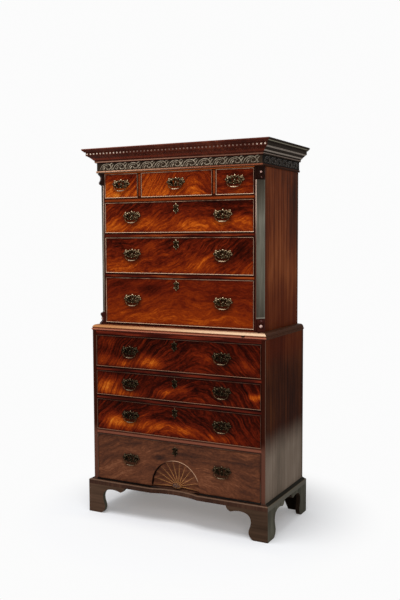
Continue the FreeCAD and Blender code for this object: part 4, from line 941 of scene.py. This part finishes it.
# %% Round bosses
class Carving(Body):
    """A body that can also carry round bosses."""

    def pebble(self, centre, right, up, out, rings, sides):
        """A low rounded boss, given its three half axes."""
        start = len(self.corners)
        for i in range(1, rings):
            angle = math.pi * i / rings
            for k in range(sides):
                turn_by = math.tau * k / sides
                ring = right * math.cos(turn_by) + up * math.sin(turn_by)
                self.corners.append(centre + ring * math.sin(angle) + out * math.cos(angle))
        front = len(self.corners)
        last = front - sides
        for a in range(start, last, sides):
            for k in range(sides):
                b = a + (k + 1) % sides
                self.faces.append((a + k, a + k + sides, b + sides, b))
        self.corners += [centre + out, centre - out]
        for k in range(sides):
            following = (k + 1) % sides
            self.faces.append((front, start + k, start + following))
            self.faces.append((front + 1, last + following, last + k))

    def button(self, centre, wide, tall, deep, rings, sides):
        """A pebble that faces the front, given its three half sizes."""
        self.pebble(Vector(centre), Vector((wide, 0, 0)), Vector((0, 0, tall)),
                    Vector((0, -deep, 0)), rings, sides)


stud = Carving()
stud.button((0, 0, 0), 0.1, 0.1, 0.05, 4, 10)
print("faces on a plain stud:", len(stud.faces))

# %% [markdown]
# ## From a shape to a piece
# A piece of the chest is an object that shows a mesh, wears a finish and rides on a
# body of the joinery, so that it moves when its drawer or its bail moves. Seventeen
# handles of one shape need only one mesh. It could be copied seventeen times, but a
# shared mesh is lighter, and a mend to it shows in all of them.

# %% Make a piece
meshes = {}


def make_piece(shape, name, body, finish, at=(0, 0, 0)):
    """Pieces with one shape and one finish share one mesh."""
    key = (shape, finish)
    if key not in meshes:
        meshes[key] = bpy.data.meshes.new(name)
        meshes[key].from_pydata([tuple(c) for c in shape.corners], [], shape.faces)
        meshes[key].materials.append(finish.done())
        meshes[key].shade_smooth()
    made = show(name, meshes[key], at)
    bpy.context.view_layer.update()
    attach(made, body)
    return made


print("meshes so far:", len(meshes))

# %% [markdown]
# ## Swan neck bails
# Each handle is a bail that hangs from two posts. It drops, swells in the middle
# where the fingers take it, and its two ends turn in to the posts like a swan's neck.
# A rod could be bent with a curve object, but a swept line lets the rod swell. Half the
# line is drawn and the other half is its mirror image. Each bail rides on its own
# hinge, so it swings up with the joint, and stands in for the plain bail of the joinery.

# %% An even curve through a few points
def smooth_line(points, steps=4):
    """More points on an even curve through the given ones."""
    fine = []
    for i in range(len(points) - 1):
        p0, p1 = points[max(i - 1, 0)], points[i]
        p2, p3 = points[i + 1], points[min(i + 2, len(points) - 1)]
        for s in range(steps):
            t = s / steps
            fine.append(0.5 * (2 * p1 + (p2 - p0) * t + (2 * p0 - 5 * p1 + 4 * p2 - p3) * t * t
                               + (3 * p1 - p0 - 3 * p2 + p3) * t ** 3))
    return [*fine, points[-1]]


corner_test = [Vector((0, 0, 0)), Vector((1, 0, 0)), Vector((1, 0, 1))]
print("three points become", len(smooth_line(corner_test)))

# %% Bend one bail
half_span = 0.027
bail_points = [(0.0270, 0.000), (0.0316, -0.001), (0.0372, -0.006), (0.0386, -0.013),
               (0.0350, -0.021), (0.0285, -0.0275), (0.0195, -0.0315), (0.0098, -0.0335),
               (0.0, -0.0340)]
right_half = smooth_line([Vector((x, 0, z)) for x, z in bail_points])
bail_line = [Vector((-p.x, 0, p.z)) for p in right_half[:-1]] + right_half[::-1]
radii = []
for point in bail_line:
    swell = max(0.0, 1 - abs(point.x) / 0.02) if point.z < -0.02 else 0.0
    radii.append(0.0018 + 0.0015 * swell)
bail = Carving()
bail.sweep(bail_line, radii, radii, 8)
for side in (-1, 1):
    bail.button((side * half_span, 0, 0), 0.0030, 0.0030, 0.0026, 6, 10)
    bail.button((side * 0.021, 0, -0.0310), 0.0016, 0.0027, 0.0027, 6, 10)
print("corners on one bail:", len(bail.corners))

# %% Hang all seventeen
def case_of(name):
    """The case that a drawer or its handle belongs to."""
    return "lower" if name.startswith("lower") else "upper"


for joint in swings:
    name = joint["child"]
    made = make_piece(bail, name + "_swan_neck", name,
                      bail_finishes[case_of(name)], joint["pos_m"])
    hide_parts(name)
print("bails hung:", len(swings))

# %% [markdown]
# ## Chasing on the back plates
# A cast plate is finished with a chisel: a raised rim follows its outline, small
# scrolls fill its wings and the tips are rubbed bright. The rim is a thin half round
# carried along the same outline that cut the plate, a little way in from its edge. A
# bump in the material would look much the same from the front, but it would vanish at
# the edge and in a close view, so the chasing is real metal here.

# %% The outline of a plate
half_wide, crest, drop = 0.0525, 0.025, 0.021
outline = [(0.0, 1.0), (0.09, 0.86), (0.17, 0.60), (0.34, 0.84), (0.52, 0.56), (0.62, 0.78),
           (0.80, 0.80), (0.84, 0.50), (1.0, 0.12), (0.95, -0.16), (0.76, -0.26),
           (0.72, -0.60), (0.52, -0.72), (0.36, -0.95), (0.20, -0.72), (0.12, -0.94),
           (0.0, -1.0)]


def on_plate(x, z, inset=1.0):
    tall = crest if z > 0 else drop
    return Vector((x * half_wide * inset, 0, z * tall * inset))


print("points on half an outline:", len(outline))

# %% The rim and scrolls of one plate
wing_points = ((0.30, 0.22), (0.42, 0.44), (0.60, 0.52), (0.72, 0.34), (0.66, 0.12),
               (0.56, 0.20))
skirt_points = ((0.08, -0.40), (0.24, -0.20), (0.44, -0.42), (0.58, -0.34), (0.66, -0.12))
chasing = Carving()
for side in (-1, 1):
    rim = smooth_line([on_plate(side * x, z, 0.93) for x, z in outline], 3)
    chasing.sweep(rim, 0.0010, 0.0012)
    wing = smooth_line([on_plate(side * x, z) for x, z in wing_points], 3)
    swell = [0.0006 + 0.0013 * math.sin(math.pi * (i + 0.5) / len(wing))
             for i in range(len(wing))]
    chasing.sweep(wing, swell, swell)
    skirt = smooth_line([on_plate(side * x, z) for x, z in skirt_points], 3)
    chasing.sweep(skirt, 0.0010, 0.0013)
print("corners on its lines:", len(chasing.corners))

# %% The bosses of one plate
petals, rose = 10, 0.0085
for side in (-1, 1):
    for x, z, size in ((0.74, 0.70, 0.0038), (0.90, 0.04, 0.0034), (0.50, -0.62, 0.0026),
                       (0.36, 0.62, 0.0026)):
        chasing.button(on_plate(side * x, z), size, size, 0.0022, 5, 8)
    for i in range(petals):
        angle = math.tau * i / petals
        chasing.button((side * half_span + rose * math.cos(angle), 0, rose * math.sin(angle)),
                       0.0016, 0.0016, 0.0016, 4, 6)
for z, size in ((0.84, 0.0036), (0.05, 0.0030), (-0.80, 0.0032)):
    chasing.button(on_plate(0, z), size, size * 1.3, 0.0026, 5, 8)
print("corners on each plate's chasing:", len(chasing.corners))

# %% Lay the chasing on every plate
pivot_stands, plate_thick, sunk = 0.010, 0.002, 0.0003
for joint in swings:
    x, pivot_y, z = joint["pos_m"]
    drawer = joint["parent"]
    make_piece(chasing, joint["child"].removesuffix("_bail") + "_plate_chasing", drawer,
               chasing_finishes[case_of(drawer)],
               (x, pivot_y + pivot_stands - plate_thick + sunk, z))
print("plates with chasing:", len(swings))

# %% [markdown]
# ## Rims on the escutcheons
# An escutcheon is the small brass shield round a keyhole. It is chased like the plates:
# a half round rim and three bosses. It could be cut into the shield, but the joinery
# is left as it is, so the chasing is laid on. Only the seven long drawers have locks.

# %% One rim
half_shield, shield_high = 0.017, 0.0265
shield = [(0, 1), (0.2, 0.78), (0.45, 0.66), (0.75, 0.68), (1.0, 0.40), (0.62, 0.12),
          (0.86, -0.12), (0.86, -0.40), (0.40, -0.60), (0.20, -0.76), (0, -1)]
escutcheon = Carving()
for side in (-1, 1):
    rim = smooth_line([Vector((side * x * half_shield * 0.88, 0, z * shield_high * 0.94))
                       for x, z in shield], 3)
    escutcheon.sweep(rim, 0.0009, 0.0011)
for z, size in ((0.90, 0.0030), (-0.84, 0.0028), (0.52, 0.0020)):
    escutcheon.button((0, 0, z * shield_high), size, size * 1.3, 0.0024, 5, 8)
print("corners on one rim:", len(escutcheon.corners))

# %% A rim on every shield
locked = [name for name in drawer_names if not name.startswith("top")]
for name in locked:
    low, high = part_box(name)
    key_down = 0.047 if name == "lower_drawer_4" else 0.037
    make_piece(escutcheon, name + "_escutcheon_chasing", name,
               chasing_finishes[case_of(name)],
               (0, low.y + bead_stands - plate_thick + sunk, high.z - key_down))
print("shields with rims:", len(locked))

# %% [markdown]
# ## Pellets on the cornice
# A row of fifty pellets runs along the front of the cornice. A turner would make them
# as split beads and glue them on. Here each is a low pebble of forty faces. They could
# be copies of one object, but one mesh with all of them is lighter to move about. They
# are painted pale, partly rubbed wood and partly painted highlight, palest towards the
# two ends of the row.

# %% Pellets on the cornice
pellet_step, count = 0.0202, 50
pellets = Carving()
for i in range(count):
    x = (i - (count - 1) / 2) * pellet_step
    pellets.button((x, up_front - 0.046, frieze_top + 0.0448), 0.0050, 0.0050, 0.0038, 5, 8)
# Pale: partly wear, partly painted highlight, palest towards the ends.
wear_and_sheen = Finish("pellets_wear_and_highlight", Roughness=0.35, Specular_IOR_Level=0.4)
ends = wear_and_sheen.add(wear_and_sheen.fade(wear_and_sheen.x, -0.05, -0.5), wear_and_sheen.fade(wear_and_sheen.x, 0.41, 0.48))
wear_and_sheen.colour = wear_and_sheen.ramp(wear_and_sheen.add(wear_and_sheen.times(ends, 0.5), wear_and_sheen.noise(9, 2)),
                        (0.4, "54342A"), (0.7, "8E6A58"), (1.0, "D4BCA8"))
make_piece(pellets, "cornice_pellets", "upper_case", wear_and_sheen)
print("pellets:", count)

# %% [markdown]
# ## The carved frieze
# A wave of scrolls and leaves runs round the top of the chest. A carver draws one wave
# with compasses, repeats it, and cuts the ground away. The same is done here: one unit
# is a stem that arches over and curls in, an inner line that follows it, and some
# pointed leaves. The unit is then laid along the front and both returns. It could be
# cut from the board with Booleans, but lines that are laid on stay clean. The class
# Plane turns flat drawing coordinates into places on whichever face is being carved.

# %% A flat place to carve on
class Plane:
    """A flat place to carve on: a centre, the way along it and the way out of it."""

    def __init__(self, centre, along, out):
        self.centre, self.along, self.out = Vector(centre), Vector(along), Vector(out)

    def __call__(self, x, z):
        return self.centre + self.along * x + Vector((0, 0, z))


print("a point on a flat place:", tuple(Plane((0, 0, 1), (1, 0, 0), (0, -1, 0))(2, 3)))

# %% A leaf
leaf_points = 9


def leaf(carving, place, x, z, turned, long, wide):
    """One pointed leaf that lies on the frieze, thick in the middle and slightly bent."""
    angle = math.radians(turned)
    line, width, thick = [], [], []
    for i in range(leaf_points):
        t = i / (leaf_points - 1) - 0.5
        reach, bend = long * t, long * 0.16 * math.cos(math.pi * t)
        line.append(place(x + reach * math.cos(angle) - bend * math.sin(angle),
                          z + reach * math.sin(angle) + bend * math.cos(angle)))
        swell = math.sin(math.pi * (i + 0.3) / leaf_points)
        width.append(0.0002 + wide * swell)
        thick.append(0.0003 + 0.0018 * swell)
    carving.sweep(line, width, thick, up=place.out)


print("points along a leaf:", leaf_points)

# %% One wave of the running scroll
strokes = (  # the points of each carved line, its least half width and how much it swells
    (((-0.50, -0.47), (-0.43, -0.12), (-0.30, 0.22), (-0.05, 0.42), (0.20, 0.34),
      (0.34, 0.06), (0.32, -0.24), (0.14, -0.36), (0.00, -0.22), (0.06, -0.04)),
     0.0010, 0.0016),
    (((-0.34, -0.42), (-0.27, -0.08), (-0.13, 0.16), (0.04, 0.20), (0.16, 0.06)),
     0.0008, 0.0012))
leaves = ((-0.14, -0.28, 55, 0.26, 0.0030), (0.37, 0.36, 28, 0.26, 0.0026),
          (0.48, 0.04, 62, 0.32, 0.0024), (0.44, -0.40, 35, 0.16, 0.0020))


def scroll_unit(carving, place, length, height):
    """An arched stem that curls in, a line that follows it, and the leaves."""
    for points, thin, fat in strokes:
        line = smooth_line([place(length * x, height * z) for x, z in points], 3)
        last = len(line) - 1
        width = [thin + fat * math.sin(math.pi * i / last) for i in range(last + 1)]
        carving.sweep(line, width, width, up=place.out)
    for x, z, turned, long, wide in leaves:
        leaf(carving, place, length * x, height * z, turned, length * long, wide)


print("lines and leaves in a wave:", len(strokes), len(leaves))

# %% Carve the front and both returns
stands = 0.005
middle = (frieze_low + frieze_top) / 2
front_unit, side_unit, tall = 0.0810, 0.0720, 0.036
frieze = Carving()
for i in range(11):
    centre = ((i - 5) * front_unit, up_front - stands, middle)
    scroll_unit(frieze, Plane(centre, (1, 0, 0), (0, -1, 0)), front_unit, tall)
for side in (-1, 1):
    for i in range(6):
        centre = (side * (up_half + stands), up_front + 0.048 + i * side_unit, middle)
        scroll_unit(frieze, Plane(centre, (0, side, 0), (side, 0, 0)), side_unit, tall)
print("faces in the frieze carving:", len(frieze.faces))

# %% [markdown]
# ## A finish for the carving
# The carving on the front is painted pale, a painted highlight on its raised lines, and
# the returns are as dark as the boards that carry them. It could be painted leaf by
# leaf, but where a point lies says enough: one soft step tells the returns from the
# front, and another lets the right end of the front fall a little darker.

# %% Finish the carving
carved = Finish("carved_mahogany", Roughness=0.35, Specular_IOR_Level=0.15)
# Painted pale as a highlight on the raised lines.
carved.colour = carved.ramp(carved.noise(70, 3), (0.3, "665848"), (0.5, "9C8C78"),
                            (0.7, "C6B8A0"))
on_side = carved.fade(carved.size(carved.x), up_half + 0.0045, up_half + stands)
carved.coat(on_side, "17140E", 0.94)
carved.coat(carved.fade(carved.x, 0.1, 0.45), "3A2C22", 0.35)
make_piece(frieze, "frieze_scrolls", "upper_case", carved)
print("finish for the frieze:", carved.material.name)

# %% [markdown]
# ## Tongues in the hollow
# Below the pellets the cornice has a hollow, and small tongues are cut in it. Seen from
# the floor they are only a fine rhythm of light and dark. Each is one thin line bent
# like a U and laid on the slope of the hollow, which costs far fewer faces than cutting
# the moulding itself.

# %% Tongues under the pellets
tongue_count = 46
hollow_low, hollow_high = Vector((0.017, 0.0142)), Vector((0.042, 0.0355))
fold = ((-0.0070, 0.86), (-0.0066, 0.55), (-0.0040, 0.30), (0, 0.20), (0.0040, 0.30),
        (0.0066, 0.55), (0.0070, 0.86))
tongues = Carving()
for i in range(tongue_count):
    x = (i - (tongue_count - 1) / 2) * pellet_step
    line = []
    for dx, part in fold:
        out, up = hollow_low.lerp(hollow_high, part)
        line.append(Vector((x + dx, up_front - out - 0.0002, frieze_top + up)))
    tongues.sweep(line, 0.0010, 0.0012, up=(0, -0.65, -0.76))
finish = Finish("tongue_mahogany", Roughness=0.35, Specular_IOR_Level=0.2)
finish.colour = finish.ramp(finish.noise(30, 3), (0.35, "3A160C"), (0.65, "6A3422"))
make_piece(tongues, "cornice_tongues", "upper_case", finish)
print("faces in the tongues:", len(tongues.faces))

# %% [markdown]
# ## Bosses on the corbels
# At the top and foot of each cant sits a small scroll corbel, and its rolled ends look
# like two buttons. Spheres could be squashed and turned by hand, but a pebble takes
# the three axes of the cant as they are. The outer one of each pair carries a painted
# highlight, and the inner one is darker.

# %% Bosses on the corbels
slant = 0.707
cant_half = cant / 2
bosses = Carving()
for side in (-1, 1):
    outward = Vector((side * slant, -slant, 0))
    for z, out, size in ((1.0250, 0.0100, 0.0080), (1.0500, 0.0160, 0.0048),
                         (1.7500, 0.0100, 0.0058), (1.7250, 0.0160, 0.0042)):
        centre = Vector((side * (up_half - cant_half), up_front + cant_half, z)) + outward * out
        bosses.pebble(centre, Vector((side * slant, slant, 0)) * size, Vector((0, 0, size)),
                      outward * size * 0.62, 7, 12)
finish = Finish("bosses_painted_highlight", Roughness=0.2, Specular_IOR_Level=0.3)
# Painted highlight on the outer boss of each pair.
outer = finish.add(finish.fade(finish.z, 1.038, 1.036), finish.fade(finish.z, 1.738, 1.740))
painted_highlight = finish.ramp(finish.noise(60, 2), (0.3, "6A3428"), (0.6, "D8B4A6"))
finish.colour = finish.mix(outer, "4A2018", painted_highlight)
make_piece(bosses, "corbel_bosses", "upper_case", finish)
print("faces in the bosses:", len(bosses.faces))

# %% [markdown]
# ## The half flower of the fan
# All rays of the fan meet in a half flower of seven petals round a button. Each petal
# is a long pebble that points away from the centre. One petal and an array would give
# the same, but a loop over seven angles leaves one clean mesh for the drawer to carry.

# %% The half flower
petal_count = 7
heart = Vector((0, low_front + 0.0085, fan_heart))
flower = Carving()
for i in range(petal_count):
    angle = math.pi * (i + 0.5) / petal_count
    outward = Vector((math.cos(angle), 0, math.sin(angle)))
    across = Vector((-math.sin(angle), 0, math.cos(angle)))
    flower.pebble(heart + outward * 0.0145 + Vector((0, 0.003, 0)), outward * 0.0105,
                  across * 0.0036, Vector((0, -0.0048, 0)), 6, 8)
flower.button(heart + Vector((0, 0.001, 0.002)), 0.0058, 0.0052, 0.0048, 6, 10)
finish = Finish("rubbed_flower", Roughness=0.3, Specular_IOR_Level=0.3)
finish.colour = finish.ramp(finish.noise(130, 2), (0.40, "2A160E"), (0.60, "7C5236"))
make_piece(flower, "fan_half_flower", "lower_drawer_4", finish)
print("faces in the flower:", len(flower.faces))

# %% [markdown]
# ## Floor
# The chest stands on a plain pale floor. A studio would roll a paper down behind the
# chest so that floor and wall become one. A flat floor does it too: near the chest it
# takes light and shadow like any floor, and further out it blends into a glow of the
# same white as the world, so no horizon shows. Only camera rays see the glow.

# %% The look of the floor
white = (0.97, 0.97, 0.97)
paper = Finish("pale_floor", Roughness=0.9, Specular_IOR_Level=0.0)
paper.colour = tint("F6F8FC")
paper.done()
glow = paper.node("Emission", {"Color": white, "Strength": 1.0})
from_middle = paper.node("VectorMath", {0: paper.place}, operation="LENGTH").outputs["Value"]
ahead = paper.times(paper.fade(paper.y, -0.25, -0.42), 0.7)
far = paper.add(0.15, paper.times(paper.most(ahead, paper.fade(from_middle, 0.42, 1.0)), 0.85))
seen_far = paper.times(far, paper.node("LightPath").outputs["Is Camera Ray"])
blend = paper.node("MixShader", {0: seen_far, 1: paper.shader.outputs[0], 2: glow.outputs[0]})
surface = paper.tree.nodes["Material Output"].inputs["Surface"]
paper.tree.links.new(blend.outputs[0], surface)
print("floor finish:", paper.material.name)

# %% Lay the floor
reach = 30
mesh = bpy.data.meshes.new("floor")
mesh.from_pydata([(-reach, -reach, 0), (reach, -reach, 0), (reach, reach, 0),
                  (-reach, reach, 0)], [], [(0, 1, 2, 3)])
mesh.materials.append(paper.material)
show("floor", mesh)
print("floor reaches", reach, "metres each way")

# %% [markdown]
# ## World
# The world is the light that comes from everywhere. The camera, mirrors and glass see
# it white, while it lights the wood at less than half that strength. A white wall and a
# dim sky could be built one by one. The Light Path node tells the kinds of ray apart,
# so one background can do both.

# %% World
world = bpy.data.worlds.new("studio")
bpy.context.scene.world = world
world.use_nodes = True
air = Wiring(world.node_tree)
rays = air.node("LightPath").outputs
seen = air.most(rays["Is Camera Ray"], rays["Is Glossy Ray"], rays["Is Transmission Ray"])
strength = air.node("MapRange", {0: seen, "To Min": 0.45, "To Max": 1.0}).outputs[0]
sky = air.tree.nodes["Background"]
air.plug(sky.inputs["Color"], white)
air.plug(sky.inputs["Strength"], strength)
print("world:", world.name)

# %% [markdown]
# ## Lamps
# Two large soft boxes do the rest. One hangs over the front and draws the shadow under
# the mouldings. The other stands behind the camera and lights the fronts, while the
# right hand side falls into shade. Bare bulbs would do it too, but they draw hard
# shadows and glaring spots, and big lamps give soft edges.

# %% Lamps
def softbox(name, place, aim, wide, tall, power):
    lamp = bpy.data.lights.new(name, "AREA")
    lamp.shape = "RECTANGLE"
    lamp.size, lamp.size_y, lamp.energy = wide, tall, power
    to_aim = Vector(aim) - Vector(place)
    show(name, lamp, place).rotation_euler = to_aim.to_track_quat("-Z", "Y").to_euler()


softbox("overhead_softbox", (-0.3, -1.0, 3.6), (-0.1, -0.3, 0.8), 2.4, 1.6, 75)
softbox("front_softbox", (2.6, -4.2, 2.4), (0, 0, 0.9), 2.6, 2.6, 75)

# %% [markdown]
